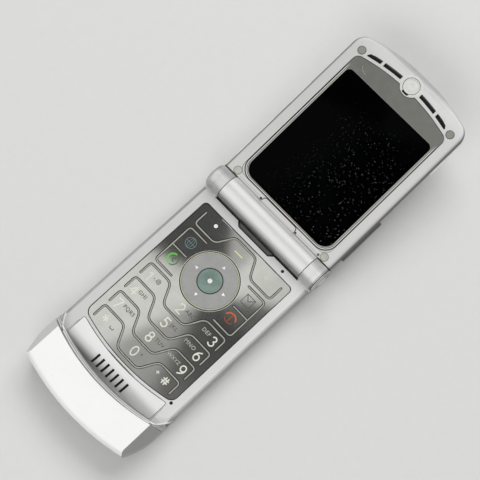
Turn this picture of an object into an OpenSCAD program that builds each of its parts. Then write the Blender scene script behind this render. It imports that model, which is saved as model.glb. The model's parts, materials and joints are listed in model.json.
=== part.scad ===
// Slim clamshell phone, open, lying on its back.
// The hinge axis runs along X above the origin. The base reaches to -Y and the lid to +Y.

/* [Body] */
// Width of the base
body_w = 53; // [51:0.5:56]
// Height of the base's front rim above the table
base_t = 7.4; // [7.2:0.1:8.4]
// Height of the chin above the table
chin_t = 13.45; // [12.8:0.1:15]
// Length of the chin cover, seam to end
chin_l = 13.8; // [12:0.2:18]
// Radius of the chin's end, seen from above
chin_end_r = 92; // [80:1:120]
// Radius of the seam between front housing and chin cover
seam_r = 80; // [72:1:100]
// How far each chin facet reaches in from the side
facet_w = 3.6; // [2:0.1:5]
// How far each chin facet drops
facet_h = 4.6; // [3:0.1:4.8]
// Edge radius round the back
back_r = 3.5; // [2.5:0.1:3.6]
// Edge radius along the base's front rim
rim_r = 1.8; // [0.8:0.1:2]
// Height where front and rear housing part
split_z = 4.5; // [4.4:0.05:4.6]
// Thickness of the housing walls
wall = 1.0; // [0.8:0.05:1.1]

/* [Hinge] */
// Diameter of the hinge barrel and knuckles
barrel_d = 9.7; // [9:0.1:10.4]
// Width of each side block that carries a knuckle
side_block_w = 6.4; // [5.6:0.1:7.4]
// Height of the hinge axis above the table
hinge_z = 8.9; // [8.8:0.05:9.4]
// Angle of the open lid above the base's plane
lid_tilt = 9; // [5:1:14]
// Gap between the barrel and the housings beside it
hinge_gap = 0.35; // [0.3:0.05:0.5]
// Diameter of the two hinge pins
pin_d = 3.2; // [2.6:0.1:3.6]
// Length of each hinge pin
pin_l = 8.2; // [7.5:0.1:9]
// Radial running clearance of the hinge pins
pin_clear = 0.05; // [0.02:0.01:0.1]
// Length of the sprung hinge cartridge
cartridge_l = 11.9; // [9:0.1:13]
// How far the knuckles' end caps stand past the sides
cap_out = 0.6; // [0.3:0.1:1]

/* [Keypad] */
// Rim beside the keypad plate
plate_rim = 4.65; // [4.1:0.05:5]
// Length of the keypad plate
plate_l = 59.55; // [59.4:0.05:62]
// Thickness of the keypad plate and its keys
plate_t = 0.3; // [0.2:0.02:0.36]
// Rim between the hinge end and the keypad plate
plate_margin = 3.55; // [3.4:0.05:4.5]
// Depth of the plate below the front rim
plate_sink = 0.2; // [0.1:0.02:0.25]
// Radius of the plate's curved lower edge
plate_end_r = 85; // [75:1:110]
// Travel of the keys
key_travel = 0.25; // [0.15:0.01:0.28]
// Width of the grooves between the keys
groove = 0.62; // [0.4:0.02:0.8]
// Width of the hairline cuts between the keys
hair = 0.06; // [0.04:0.01:0.1]
// Distance between rows of number keys
row_pitch = 7.17; // [6.9:0.01:7.2]
// Frame of the keypad plate beside the keys
key_rim = 3.0; // [2.7:0.05:3.4]
// Half width of a middle key at its wide end
wide_x = 8.9; // [8.4:0.1:9.6]
// Half width of a middle key at its narrow end
narrow_x = 5.1; // [4.4:0.1:5.8]
// Outer diameter of the rocker ring
ring_d = 20.9; // [20:0.1:21]
// Diameter of the select button
select_d = 8.7; // [7:0.1:9.6]
// Running gap round the rocker ring and the select button
ring_gap = 0.12; // [0.08:0.01:0.2]

/* [Grille] */
// Radius of the ramp that rises from the keypad to the chin
ramp_r = 6.0; // [5.8:0.1:8]
// Length of the grille bar, seen from above
bar_l = 8.15; // [7.2:0.05:8.2]
// How much narrower than the plate the grille bar is at each end
bar_inset = 1.25; // [0.8:0.05:3]
// Thickness of the grille bar
bar_t = 1.0; // [0.6:0.1:1.2]
// Number of grille slots
slots = 7; // [3:1:9]
// Spacing of the grille slots
slot_pitch = 2.36; // [2:0.02:2.6]
// Width of one grille slot
slot_w = 0.85; // [0.5:0.05:1.1]
// Length of one grille slot, seen from above
slot_l = 3.9; // [3:0.1:4.4]

/* [Battery] */
// Distance of the battery from the base's sides
battery_side = 8.2; // [7.9:0.1:10]
// Length of the battery
battery_l = 53.6; // [46:0.2:54]
// Thickness of the battery
battery_t = 3.0; // [2.4:0.1:3.1]
// Thickness of the battery door
door_t = 0.7; // [0.5:0.05:0.75]
// Travel of the door latch
latch_travel = 1.0; // [0.6:0.1:1.4]

/* [Lid] */
// How much narrower than the base the lid is at each side
lid_inset = 0.3; // [0:0.05:0.6]
// Thickness of the lid
lid_t = 6.4; // [6.2:0.1:7]
// Height of the lid's inner face above the hinge axis
lid_face = 1.3; // [1.1:0.05:1.3]
// How far the lid's tip reaches past the foot of the ramp
lid_past = 3.75; // [3:0.05:3.9]
// Radius of the lid's curved tip
lid_end_r = 82; // [74:1:110]
// Corner radius of the lid's tip
lid_corner_r = 5.5; // [4:0.1:7]
// Edge radius round the lid's outer face
lid_back_r = 2.6; // [1.5:0.1:3]
// Edge radius round the lid's inner face
lid_rim_r = 1.2; // [0.6:0.1:1.5]
// Thickness of the lid's walls
lid_wall = 0.9; // [0.7:0.05:1]

/* [Screen] */
// Rim beside the inner lens
lens_rim = 4.4; // [3.9:0.05:5]
// Rim between the inner lens and the lid's tip
lens_tip_rim = 8.0; // [7.9:0.05:9]
// Distance of the lens's lower edge from the hinge axis
lens_y = 7.0; // [6.9:0.05:8]
// Thickness of the inner lens
lens_t = 0.7; // [0.5:0.05:0.8]
// Border of the lens beside the display
screen_rim = 1.35; // [1.2:0.05:2.2]
// Border of the lens below the display
screen_foot = 1.15; // [1:0.05:2]
// Border of the lens above the display
screen_head = 8.05; // [7.8:0.05:10]
// Diameter of the badge disc
badge_d = 6.0; // [5:0.1:6.4]
// Diameter of the rubber bumpers
bumper_d = 2.8; // [2.4:0.1:2.9]
// How far the bumpers stand above the lid's inner face
bumper_up = 0.15; // [0.05:0.01:0.18]
// Width of the earpiece slots
ear_slot_w = 1.25; // [0.8:0.05:1.4]

/* [Lid sides] */
// Length of the volume rocker
volume_l = 18.6; // [14:0.2:19]
// Length of the smart key
smart_l = 10.4; // [8:0.2:12]
// Length of the voice key
voice_l = 9.4; // [7:0.2:11]
// Length of the port cover
cover_l = 18.6; // [14:0.2:19]
// Height of the side keys
side_key_h = 2.4; // [1.8:0.1:2.6]
// How far the side keys stand out
side_key_out = 0.6; // [0.3:0.05:0.8]
// Travel of the side keys
side_travel = 0.35; // [0.2:0.05:0.4]
// Clearance round keys, covers and lenses in their openings
fit = 0.1; // [0.08:0.01:0.14]

/* [Camera side] */
// Diameter of the camera module
camera_d = 7.2; // [6:0.1:8]
// Width of the outer lens
outer_lens_w = 26; // [22:0.5:30]
// Length of the outer lens
outer_lens_l = 20; // [17:0.5:22]

/* [Hidden] */
$fn = 96;
// Long shallow arcs, and small round details
arc_fn = 240;
small_fn = 32;
// How far a cutting shape runs past the face that it cuts
over = 0.5;

// Distances from the hinge axis towards the chin
half_w = body_w / 2;
plate_half = half_w - plate_rim;
side_x = plate_half - key_rim;
bar_x = plate_half - bar_inset;
battery_w = body_w - 2 * battery_side;
barrel_l = body_w - 2 * side_block_w;
barrel_r = barrel_d / 2;
front_y = barrel_r + hinge_gap;
plate_y = front_y + plate_margin;
plate_end_y = plate_y + plate_l;
bar_margin = 1.15;
bar_y = plate_end_y + bar_margin;
ramp_start = 3.1;
ramp_y = bar_y + ramp_start;
bar_end_y = bar_y + bar_l;
ledge_l = 1.8;
seam_y = bar_end_y + ledge_l;
chin_y = seam_y + chin_l;
seam_gap = 0.12;
// The chin's rounded plan starts where the side walls end
chin_round_y = chin_y - 15.2;
// The rear housing ends under the lid's foot
tail_y = barrel_r - 0.45;
tail_r = 3.0;
tail_z = hinge_z - barrel_r - hinge_gap + 0.2;

// Heights in the base
ramp_z = base_t + ramp_r;
bar_end_z = ramp_z - sqrt(pow(ramp_r, 2) - pow(bar_end_y - ramp_y, 2));
ledge_rise = 2.3;
plate_top = base_t - plate_sink;
plate_z = plate_top - plate_t;
ledge_t = 0.5;
key_clear = 0.05;
mat_top = plate_z - key_travel - key_clear;
mat_t = 0.38;
mat_z = mat_top - mat_t;
dome_t = 0.15;
dome_z = mat_z - dome_t;
sheet_t = 0.1;
sheet_z = dome_z - sheet_t;
board_t = 0.7;
board_z = sheet_z - board_t;
can_gap = 0.05;
can_z = split_z + can_gap;
can_t = board_z - can_z;
can_space = 2;
deck_t = 0.5;
deck_z = split_z - deck_t;
board_w = 2 * (half_w - wall) - 0.6;
board_y = plate_y + 1.1;
board_end_y = plate_end_y + 0.6;
cavity_y = plate_y + 0.6;
cavity_end_y = plate_end_y + 1.25;

// The key field, measured from the plate's upper edge
soft_y = plate_y + 0.95;
menu_y = plate_y + 1.55;
soft_leg_y = plate_y + 2.5;
soft_end_y = plate_y + 8.3;
menu_end_y = soft_end_y - 0.55;
group_y = plate_y + 10.3;
group_mid_y = plate_y + 18.87;
group_end_y = plate_y + 27.1;
group_in_x = ring_d / 2 - 0.05;
group_mid_x = ring_d / 2 + 1.35;
ring_y = plate_y + 18.75;
ring_r = ring_d / 2;
ring_hole_r = ring_r + ring_gap;
row_y = ring_y + ring_r - 0.2;
two_y = ring_y + ring_hole_r + 0.25;
leg_l = 5.3;
last_short = 1.7;
key_corner = 1.1;
step = 0.5;
select_r = select_d / 2;
select_up = 0.2;
ring_up = 0.15;
ring_lift = 0.38;
carrier_r = select_r + ring_gap + 1.1;
ring_dome_r = (select_r + ring_r) / 2;
carrier_t = 0.1;
carrier_z = mat_top + 0.14;

// Battery bay
well_w = battery_w + 0.6;
well_y = front_y + 8.8;
well_l = battery_l + 0.4;
door_w = well_w + 2.8;
door_y = well_y - 1.4;
door_l = well_l + 2.0;
door_r = 2;
door_gap = 0.1;
latch_w = 8;
latch_l = 3.6;
latch_t = 1.2;
latch_sink = 0.15;
latch_y = door_y - door_gap - latch_l;
antenna_t = 2.4;
screw_x = half_w - 4.5;
screw_ys = [front_y + 2.2, bar_y + 4.5];
screw_head_r = 1.5;
screw_r = 0.7;

// Hinge
knuckle_x = barrel_l / 2 + 0.2;
knuckle_end = half_w - 1.1;
cap_r = 3.8;
bearing_l = 1.5;
bore_r = 3.6;
pin_r = pin_d / 2;
pin_end = knuckle_end - 0.2;
notch_x = 8.85;
notch_in_x = 7.25;
notch_l = 1.6;

// Lid, in its own frame: hinge axis at the origin, +Y to the tip, +Z out of the inner face
lid_half = half_w - lid_inset;
lid_w = 2 * lid_half;
lid_back = lid_face - lid_t;
lid_len = ramp_y + lid_past;
foot_gap = 0.25;
lid_foot = barrel_r + foot_gap;
corner_lap = 0.06;
lid_split = -0.65;
lid_seam = 0.06;
lid_ramp_r = ramp_r - (hinge_z - lid_face - base_t);
lid_ramp_z = hinge_z - ramp_z;
lens_half = lid_half - lens_rim;
lens_sink = 0.15;
lens_top = lid_face - lens_sink;
lens_z = lens_top - lens_t;
lens_end_y = lid_len - lens_tip_rim;
lens_end_r = 80;
lens_corner = 2.5;
lens_foot_corner = 3.4;
screen_y = lens_y + screen_foot;
screen_w = 2 * (lens_half - screen_rim);
screen_l = lens_end_y - screen_head - screen_y;
display_edge = 0.7;
badge_y = lid_len - 5.9;
badge_ring = 1.2;
bumper_x = lens_half - 0.2;
bumper_ys = [lens_y - 0.35, lid_len - 8.8];
bumper_t = 0.5;
ledge_under = 0.35;
lid_hollow_z = lens_z - ledge_under;
tab_x = 7.4;
tab_up = 0.3;
glass_gap = 0.05;
display_t = 1.5;
display_z = lid_hollow_z - glass_gap - display_t;
lid_board_t = 0.6;
lid_board_z = display_z - lid_board_t - 0.1;
lid_board_y = lens_y + 2;

outer_lens_t = 0.6;
ear_w = 22;
ear_l = 4.6;
outer_lens_y = 46;
camera_y = outer_lens_y + outer_lens_l / 2 + 2.9 + camera_d / 2;
lid_board_l = camera_y - camera_d / 2 - 0.9 - lid_board_y;
camera_out = 0.15;
motor_r = 1.7;
motor_l = 6.4;
side_key_z = -2.6;
volume_y = 10.4;
smart_y = 37.2;
voice_y = 53.2;
cover_y = 10.5;
side_key_in = lid_wall + 0.3;
side_room = side_key_in + side_travel + 0.6;
cover_sink = 0.5;
cover_out = 0.7;
port_w = 7.8;
port_y = cover_y + cover_l / 2 - port_w / 2;
port_h = 2.4;
port_l = 4.2;
tongue_l = 6;

// ---------- shapes that repeat ----------

// Rectangle from y0 to y1 whose far side is an arc of radius end_r with rounded corners
module arched(half, y0, y1, end_r, near_c, far_c) {
  far_y = y1 - end_r + sqrt(pow(end_r - far_c, 2) - pow(half - far_c, 2));
  meet_x = (half - far_c) * end_r / (end_r - far_c);
  translate([-half, y0 + near_c]) square([2 * half, far_y - y0 - near_c]);
  translate([near_c - half, y0]) square([2 * (half - near_c), near_c + over]);
  intersection() {
    translate([0, y1 - end_r]) circle(end_r, $fn = arc_fn);
    translate([-meet_x, far_y - over]) square([2 * meet_x, y1 - far_y + 2 * over]);
  }
  for (s = [-1, 1]) {
    translate([s * (half - far_c), far_y]) circle(far_c);
    if (near_c > 0) translate([s * (half - near_c), y0 + near_c]) circle(near_c);
  }
}

// Rectangle with four round corners
module rounded(w, l, r) {
  translate([-w / 2 + r, -l / 2]) square([w - 2 * r, l]);
  translate([-w / 2, -l / 2 + r]) square([w, l - 2 * r]);
  for (x = [-1, 1], y = [-1, 1])
    translate([x * (w / 2 - r), y * (l / 2 - r)]) circle(r, $fn = small_fn);
}

// Half of a round disc's section: radius r, heights z0 to z1, edge radii low and high
module disc_section(r, z0, z1, low, high) {
  translate([0, z0]) square([r - low, low]);
  translate([0, z0 + low]) square([r, z1 - z0 - low - high]);
  translate([0, z1 - high]) square([r - high, high]);
  intersection() {
    translate([r - low, z0 + low]) circle(low);
    translate([r - low, z0]) square([low, low]);
  }
  intersection() {
    translate([r - high, z1 - high]) circle(high);
    translate([r - high, z1 - high]) square([high, high]);
  }
}

module disc(r, z0, z1, low, high) {
  rotate_extrude() disc_section(r, z0, z1, low, high);
}

// Bar along Y with the disc's section on both sides
module bar_y(half, y0, y1, z0, z1, low, high) {
  translate([0, y1, 0]) rotate([90, 0, 0]) linear_extrude(y1 - y0)
    for (m = [0, 1]) mirror([m, 0, 0]) disc_section(half, z0, z1, low, high);
}

// Anything drawn in a plane seen along X: first coordinate Y, second Z
module across(x0, x1) {
  translate([x0, 0, 0]) rotate([90, 0, 90]) linear_extrude(x1 - x0) children();
}

module box(lo, hi) {
  translate(lo) cube(hi - lo);
}

module rod_x(x0, x1, r) {
  translate([x0, 0, 0]) rotate([0, 90, 0]) cylinder(h = x1 - x0, r = r);
}

module on_hinge() {
  translate([0, 0, hinge_z]) children();
}

module on_lid() {
  translate([0, 0, hinge_z]) rotate([lid_tilt, 0, 0]) children();
}

// Room inside the chin, this far in from its sides, its end and the seam
module chin_plan(side, end, front) {
  intersection() {
    translate([0, chin_round_y]) circle(half_w - side);
    translate([0, chin_y - chin_end_r]) circle(chin_end_r - end, $fn = arc_fn);
    translate([-half_w, seam_y + front]) square([body_w, chin_l]);
  }
}

// Shapes drawn with distances towards the chin are turned to -Y
module to_chin() {
  mirror([0, 1, 0]) children();
}

// ---------- base ----------

// Outer form of the base between two heights, drawn towards the chin
module base_form(y0, z0, z1, low, high, end_low, end_high) {
  intersection() {
    union() {
      bar_y(half_w, y0, chin_round_y, z0, z1, low, high);
      translate([0, chin_round_y, 0]) disc(half_w, z0, z1, low, high);
    }
    translate([0, chin_y - chin_end_r, 0]) disc_arc(z0, z1, end_low, end_high);
  }
}

module disc_arc(z0, z1, low, high) {
  rotate_extrude($fn = arc_fn) disc_section(chin_end_r, z0, z1, low, high);
}

// The two facets that lean in towards the chin's top
module facets(z0) {
  translate([0, chin_y + over, 0]) rotate([90, 0, 0]) linear_extrude(chin_y + over)
    polygon([[-half_w, z0], [half_w, z0], [half_w, chin_t - facet_h],
      [half_w - facet_w, chin_t], [facet_w - half_w, chin_t], [-half_w, chin_t - facet_h]]);
}

module seam_disc(grow) {
  translate([0, seam_y - seam_r, 0]) cylinder(h = 40, r = seam_r + grow, $fn = arc_fn);
}

// Air over the keypad, the ramp and its ledge
module ramp_air() {
  across(-half_w - over, half_w + over) {
    translate([ramp_y, ramp_z]) circle(ramp_r);
    translate([0, base_t]) square([ramp_y, 20]);
    polygon([[ramp_y, ramp_z], [bar_end_y, bar_end_z], [chin_y, bar_end_z + ledge_rise
      * (chin_y - bar_end_y) / ledge_l], [chin_y, 30], [ramp_y, 30]]);
  }
}

module bar_plan(grow) {
  intersection() {
    difference() {
      translate([0, bar_end_y - seam_r]) circle(seam_r + grow, $fn = arc_fn);
      translate([0, bar_y - plate_end_r]) circle(plate_end_r - grow, $fn = arc_fn);
    }
    polygon([[-bar_x - grow, bar_y - 4], [bar_x + grow, bar_y - 4],
      [bar_x + 0.9 + grow, bar_end_y + 1], [-bar_x - 0.9 - grow, bar_end_y + 1]]);
  }
}

module bar_depth(t) {
  across(-half_w, half_w) {
    translate([ramp_y, ramp_z]) circle(ramp_r + t);
    translate([0, base_t - t]) square([ramp_y, ramp_r + t]);
  }
}

module plate_plan(grow) {
  arched(plate_half + grow, plate_y - grow, plate_end_y + grow, plate_end_r + grow,
    1.6 + grow, 3 + grow);
}

module screw_places() {
  for (x = [-screw_x, screw_x], y = screw_ys) translate([x, y, 0]) children();
}

module base_front_housing() {
  color("#cdced0") to_chin() difference() {
    union() {
      base_form(front_y, split_z, base_t, 0.01, rim_r, 0.01, 0.01);
      intersection() {
        base_form(ramp_y, split_z, chin_t, 0.01, 0.01, 0.01, 0.01);
        facets(split_z);
      }
    }
    ramp_air();
    difference() {
      box([-half_w - over, seam_y - 12, 0], [half_w + over, chin_y + over, 20]);
      seam_disc(-seam_gap / 2);
    }
    // keypad opening, with a ledge that carries the plate
    translate([0, 0, plate_z]) linear_extrude(over + plate_t + plate_sink) plate_plan(fit);
    translate([0, 0, split_z]) linear_extrude(plate_z) plate_plan(-0.9);
    box([wall - half_w, cavity_y, split_z - over],
      [half_w - wall, cavity_end_y, plate_z - ledge_t]);
    // pocket for the grille bar, with a sound passage behind it
    intersection() {
      translate([0, 0, plate_z - ledge_t]) linear_extrude(20) bar_plan(seam_gap);
      bar_depth(bar_t + 0.05);
    }
    box([-9, cavity_end_y - over, split_z - over], [9, bar_end_y - 1, base_t + 2]);
    // notch under the hinge barrel
    translate([0, 0, split_z - over]) linear_extrude(base_t)
      polygon([[-notch_x - over, front_y - over], [notch_x + over, front_y - over],
        [notch_in_x, front_y + notch_l], [-notch_in_x, front_y + notch_l]]);
    // sensor hole and microphone hole
    translate([14.85, front_y + 1.7, base_t - 1.2]) cylinder(h = 3, r = 0.5, $fn = small_fn);
    translate([half_w - 4.8, plate_end_y - 2.4, split_z])
      cylinder(h = 5, r = 0.55, $fn = small_fn);
    screw_places() cylinder(h = split_z + 1.8, r = screw_r, $fn = small_fn);
  }
}

// Section of one knuckle: X outwards, radius upwards
module knuckle() {
  rotate([0, 90, 0]) rotate_extrude()
    polygon([[0, knuckle_x], [barrel_r, knuckle_x], [barrel_r, knuckle_end - 1.4],
      [cap_r + 0.3, knuckle_end], [0, knuckle_end]]);
}

module base_rear_housing() {
  color("#b9bbbd") difference() {
    union() {
      difference() {
        intersection() {
          to_chin() base_form(-tail_y, 0, split_z, back_r, 0.01, back_r, 0.01);
          // rounded end under the lid's foot
          across(-half_w, half_w) {
            translate([-chin_y - over, 0]) square([chin_y + over + tail_y - tail_r, split_z]);
            translate([-chin_y, tail_r]) square([chin_y + tail_y, split_z]);
            translate([tail_y - tail_r, tail_r]) circle(tail_r);
          }
        }
        // room for the barrel and its web
        on_hinge() rod_x(-knuckle_x, knuckle_x, barrel_r + hinge_gap);
        box([-knuckle_x, 0, tail_z], [knuckle_x, tail_y + over, hinge_z]);
      }
      for (m = [0, 1]) mirror([m, 0, 0]) {
        on_hinge() knuckle();
        box([knuckle_x + 0.1, -barrel_r, back_r], [knuckle_end, tail_y, hinge_z]);
      }
    }
    on_hinge() for (m = [0, 1]) mirror([m, 0, 0]) rod_x(knuckle_x - over, pin_end, pin_r);
    to_chin() {
      // battery bay and door recess, open at the back
      translate([0, well_y + well_l / 2, -over]) linear_extrude(deck_z + over)
        square([well_w, well_l], center = true);
      translate([0, door_y + door_l / 2, -over]) linear_extrude(door_t + 0.1 + over)
        rounded(door_w + 2 * door_gap, door_l + 2 * door_gap, door_r);
      box([-latch_w / 2 - fit, latch_y - latch_travel - fit, -over],
        [latch_w / 2 + fit, door_y, latch_sink + latch_t + fit]);
      // hollow rails beside the battery and hollow chin, open to the front
      for (m = [0, 1]) mirror([m, 0, 0])
        box([well_w / 2 + wall + 0.6, well_y, 1.3],
          [half_w - 2.0, well_y + well_l + 2, split_z + over]);
      translate([0, 0, 1.3]) linear_extrude(split_z) chin_plan(4.4, 4.2, 2.2);
      screw_places() {
        translate([0, 0, -over]) cylinder(h = over + 1.0, r = screw_head_r + 0.05,
          $fn = small_fn);
        cylinder(h = split_z + over, r = screw_r + 0.05, $fn = small_fn);
      }
    }
  }
}

module chin_cover() {
  color("#e4e5e6") to_chin() difference() {
    intersection() {
      base_form(chin_round_y - 14, split_z, chin_t, 0.01, 0.01, 0.01, 2.4);
      facets(split_z);
    }
    seam_disc(seam_gap / 2);
    translate([0, 0, split_z - over]) linear_extrude(chin_t - split_z - 1.2 + over)
      chin_plan(3.4, 2.4, 1.2);
  }
}

module grille_bar() {
  color("#c3c5c7") to_chin() difference() {
    intersection() {
      translate([0, 0, base_t - bar_t]) linear_extrude(chin_t) bar_plan(0);
      bar_depth(bar_t);
      difference() {
        box([-half_w, 0, 0], [half_w, chin_y, bar_end_z + 0.01]);
        ramp_air();
      }
    }
    for (i = [0 : slots - 1])
      translate([(i - (slots - 1) / 2) * slot_pitch, (bar_y + bar_end_y) / 2 + 0.6, 0])
        linear_extrude(chin_t + over) square([slot_w, slot_l], center = true);
  }
}

// ---------- keypad ----------

// Half width of a middle key at distance y, between its top t and bottom b
function slant(y, t, b) = wide_x + (narrow_x - wide_x) * (y - t) / (b - t);
function slant_k(t, b) = sqrt(1 + pow((wide_x - narrow_x) / (b - t), 2));
function flip(points) = [for (i = [len(points) - 1 : -1 : 0]) [-points[i][0], points[i][1]]];
function both_sides(points) = concat(points, flip(points));

// In each outline, g moves the groove edges outwards and h the hairline edges
function side_key(row, g, h) =
  let (t = row_y + row * row_pitch, b0 = t + row_pitch, last = row == 3,
    b = last ? b0 - last_short : b0, k = slant_k(t, b0), leg = t + leg_l)
  concat(
    [[side_x + h, b + (last ? h : g)], [side_x + h, leg], [side_x + g, leg],
      [side_x + g, t + key_corner], [side_x - key_corner, t - g],
      [slant(t - g, t, b0) - g * k, t - g], [slant(b + h, t, b0) - g * k, b + h]],
    last ? [] : [[wide_x - 0.3, b + h], [wide_x + 0.2, b + g]]);

function middle_key(row, g, h) =
  let (t0 = row_y + row * row_pitch, t = row == 0 ? two_y : t0, b = t0 + row_pitch,
    k = slant_k(t0, b))
  both_sides([[narrow_x, t - (row == 0 ? h : g)], [narrow_x + step, t - h],
    [slant(t - h, t0, b) + g * k, t - h], [slant(b + g, t0, b) + g * k, b + g]]);

function menu_outline(g, h) =
  let (t = menu_y, b = soft_end_y, k = slant_k(t, b))
  both_sides([[narrow_x - 0.6 + g, t - g],
    [slant(t + 1, b, t) + g * k, t + 1], [slant(menu_end_y, b, t) + g * k, menu_end_y + h]]);

function soft_outline(g, h) =
  let (t = menu_y, b = soft_end_y, k = slant_k(t, b))
  [[side_x + h, soft_y - h], [side_x + h, soft_leg_y], [side_x + g, soft_leg_y],
    [side_x + g, b - key_corner], [side_x - key_corner, b + g],
    [slant(b + g, b, t) - g * k, b + g], [slant(t + 1, b, t) - g * k, t + 1],
    [narrow_x + 0.1 - g, soft_y - h]];

function upper_outline(g, h) =
  [[group_in_x - h, group_y - g], [side_x - key_corner, group_y - g],
    [side_x + g, group_y + key_corner], [side_x + g, group_mid_y + g],
    [group_mid_x - h, group_mid_y + g]];

function lower_outline(g, h) =
  [[group_mid_x - h, group_mid_y - g], [side_x + g, group_mid_y - g],
    [side_x + g, group_end_y - key_corner], [side_x - key_corner, group_end_y + g],
    [group_in_x - h, group_end_y + g]];

// All outlines in the order of key_names
key_names = ["key_1", "key_2", "key_3", "key_4", "key_5", "key_6", "key_7", "key_8", "key_9",
  "key_star", "key_0", "key_hash", "soft_key_left", "soft_key_right", "menu_key", "web_key",
  "message_key", "send_key", "end_key"];
function key_outline(i, g, h) =
  i < 12 ? let (row = floor(i / 3), col = i % 3)
    col == 0 ? flip(side_key(row, g, h)) : col == 1 ? middle_key(row, g, h)
      : side_key(row, g, h)
  : i == 12 ? flip(soft_outline(g, h)) : i == 13 ? soft_outline(g, h)
  : i == 14 ? menu_outline(g, h)
  : i == 15 ? flip(upper_outline(g, h)) : i == 16 ? upper_outline(g, h)
  : i == 17 ? flip(lower_outline(g, h)) : lower_outline(g, h);

module key(i) {
  color(i < 15 ? "#a9aaa8" : "#9c9d9b") to_chin() translate([0, 0, plate_z])
    linear_extrude(plate_t) polygon(key_outline(i, -groove / 2, -hair / 2));
}

module keypad_plate() {
  color("#a9aaa8") to_chin() translate([0, 0, plate_z]) linear_extrude(plate_t) difference() {
    plate_plan(0);
    for (i = [0 : len(key_names) - 1]) polygon(key_outline(i, groove / 2, hair / 2));
    translate([0, ring_y]) circle(ring_hole_r);
  }
}

module mat_plan() {
  arched(side_x + 1.05, board_y - 0.2, plate_end_y - 1.3, plate_end_r - 1.3, 1, 2.2);
}

module keypad_mat() {
  color("#d8dcd8") to_chin() translate([0, 0, mat_z]) linear_extrude(mat_t) mat_plan();
}

// Centres of the domes under the keys, the rocker ring and the select button
dome_spots = concat(
  [for (r = [0 : 3], x = [-1, 0, 1]) [x * (side_x + wide_x) / 2, row_y + (r + 0.5) * row_pitch]],
  [for (x = [-1, 1], y = [(soft_y + soft_end_y) / 2, (group_y + group_mid_y) / 2,
    (group_mid_y + group_end_y) / 2]) [x * (side_x + group_in_x) / 2, y]],
  [[0, (menu_y + menu_end_y) / 2], [0, ring_y]],
  [for (a = [0, 90, 180, 270]) ring_dome_r * [cos(a), sin(a)] + [0, ring_y]]);

module dome_sheet() {
  color("#c9b27a") to_chin() {
    translate([0, 0, sheet_z]) linear_extrude(sheet_t) mat_plan();
    for (p = dome_spots)
      translate([p[0], p[1], sheet_z]) cylinder(h = sheet_t + dome_t, r = 1.7, $fn = small_fn);
  }
}

module main_board() {
  color("#2e6b45") to_chin()
    box([-board_w / 2, board_y, board_z], [board_w / 2, board_end_y, board_z + board_t]);
}

module shield_cans() {
  can_l = (board_end_y - board_y - 3 * can_space) / 2;
  color("#b8b8ba") to_chin() for (n = [3, 2]) {
    can_w = (board_w - (n + 1) * can_space) / n;
    for (i = [0 : n - 1])
      translate([can_space + i * (can_w + can_space) - board_w / 2,
        board_y + can_space + (3 - n) * (can_l + can_space), can_z]) cube([can_w, can_l, can_t]);
  }
}

module rocker_ring() {
  color("#a6a7a5") to_chin() translate([0, ring_y, plate_z + ring_lift - plate_t])
    difference() {
      cylinder(h = plate_top + ring_up - plate_z - ring_lift + plate_t, r = ring_r);
      translate([0, 0, -over]) cylinder(h = 3, r = select_r + ring_gap);
    }
}

module rocker_carrier() {
  color("#3c3f42") to_chin() translate([0, ring_y, carrier_z]) difference() {
    cylinder(h = carrier_t, r = carrier_r);
    translate([0, 0, -over]) cylinder(h = 3, r = select_r + ring_gap);
  }
}

module select_button() {
  color("#8aa097") to_chin() translate([0, ring_y, plate_z])
    cylinder(h = plate_t + select_up, r = select_r);
}

// ---------- inside the base ----------

module battery() {
  color("#3b4652") to_chin() translate([0, well_y + well_l / 2, door_t + 0.15])
    linear_extrude(battery_t) rounded(battery_w, battery_l, 1.2);
}

module battery_door() {
  color("#b3b5b8") to_chin() difference() {
    translate([0, door_y + door_l / 2, 0]) linear_extrude(door_t)
      rounded(door_w, door_l, door_r);
    // finger grooves
    for (i = [0 : 4]) box([-8, door_y + 4 + 1.6 * i, -over], [8, door_y + 4.7 + 1.6 * i, 0.25]);
  }
}

module door_latch() {
  color("#8d9093") to_chin() difference() {
    box([-latch_w / 2, latch_y, latch_sink], [latch_w / 2, latch_y + latch_l,
      latch_sink + latch_t]);
    for (i = [0 : 2]) box([-2.6, latch_y + 0.8 + 0.8 * i, 0],
      [2.6, latch_y + 1.2 + 0.8 * i, latch_sink + 0.25]);
  }
}

module antenna() {
  color("#c8a860") to_chin() translate([0, 0, split_z]) linear_extrude(antenna_t)
    chin_plan(3.7, 2.7, 1.5);
}

module loudspeaker() {
  color("#333538") to_chin() translate([0, seam_y + 6.4, split_z + antenna_t]) {
    cylinder(h = 3.2, r = 4.6);
    cylinder(h = 4.8, r = 3.4);
  }
}

module microphone() {
  color("#c0c0c0") to_chin() translate([half_w - 4.8, plate_end_y - 2.4, board_z + board_t])
    difference() {
      cylinder(h = plate_z - ledge_t - board_z - board_t - 0.05, r = 1.6, $fn = small_fn);
      translate([0, 0, 0.2]) cylinder(h = 3, r = 0.4, $fn = small_fn);
    }
}

module hinge_pins() {
  color("#9a9c9f") on_hinge() for (m = [0, 1]) mirror([m, 0, 0])
    rod_x(pin_end - pin_l, pin_end, pin_r);
}

// Dished bright cap with a dark step round it
module hinge_end_caps() {
  out = half_w + cap_out - knuckle_end;
  color("#d9dadc") on_hinge() for (m = [0, 1]) mirror([m, 0, 0])
    translate([knuckle_end, 0, 0]) rotate([0, 90, 0]) rotate_extrude()
      polygon([[0, 0], [cap_r - 0.5, 0], [cap_r - 0.5, 0.5], [cap_r, 0.8],
        [cap_r - 0.2, out - 0.4], [cap_r - 0.8, out], [cap_r - 1.5, out - 0.4], [0, out - 0.5]]);
}

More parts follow.
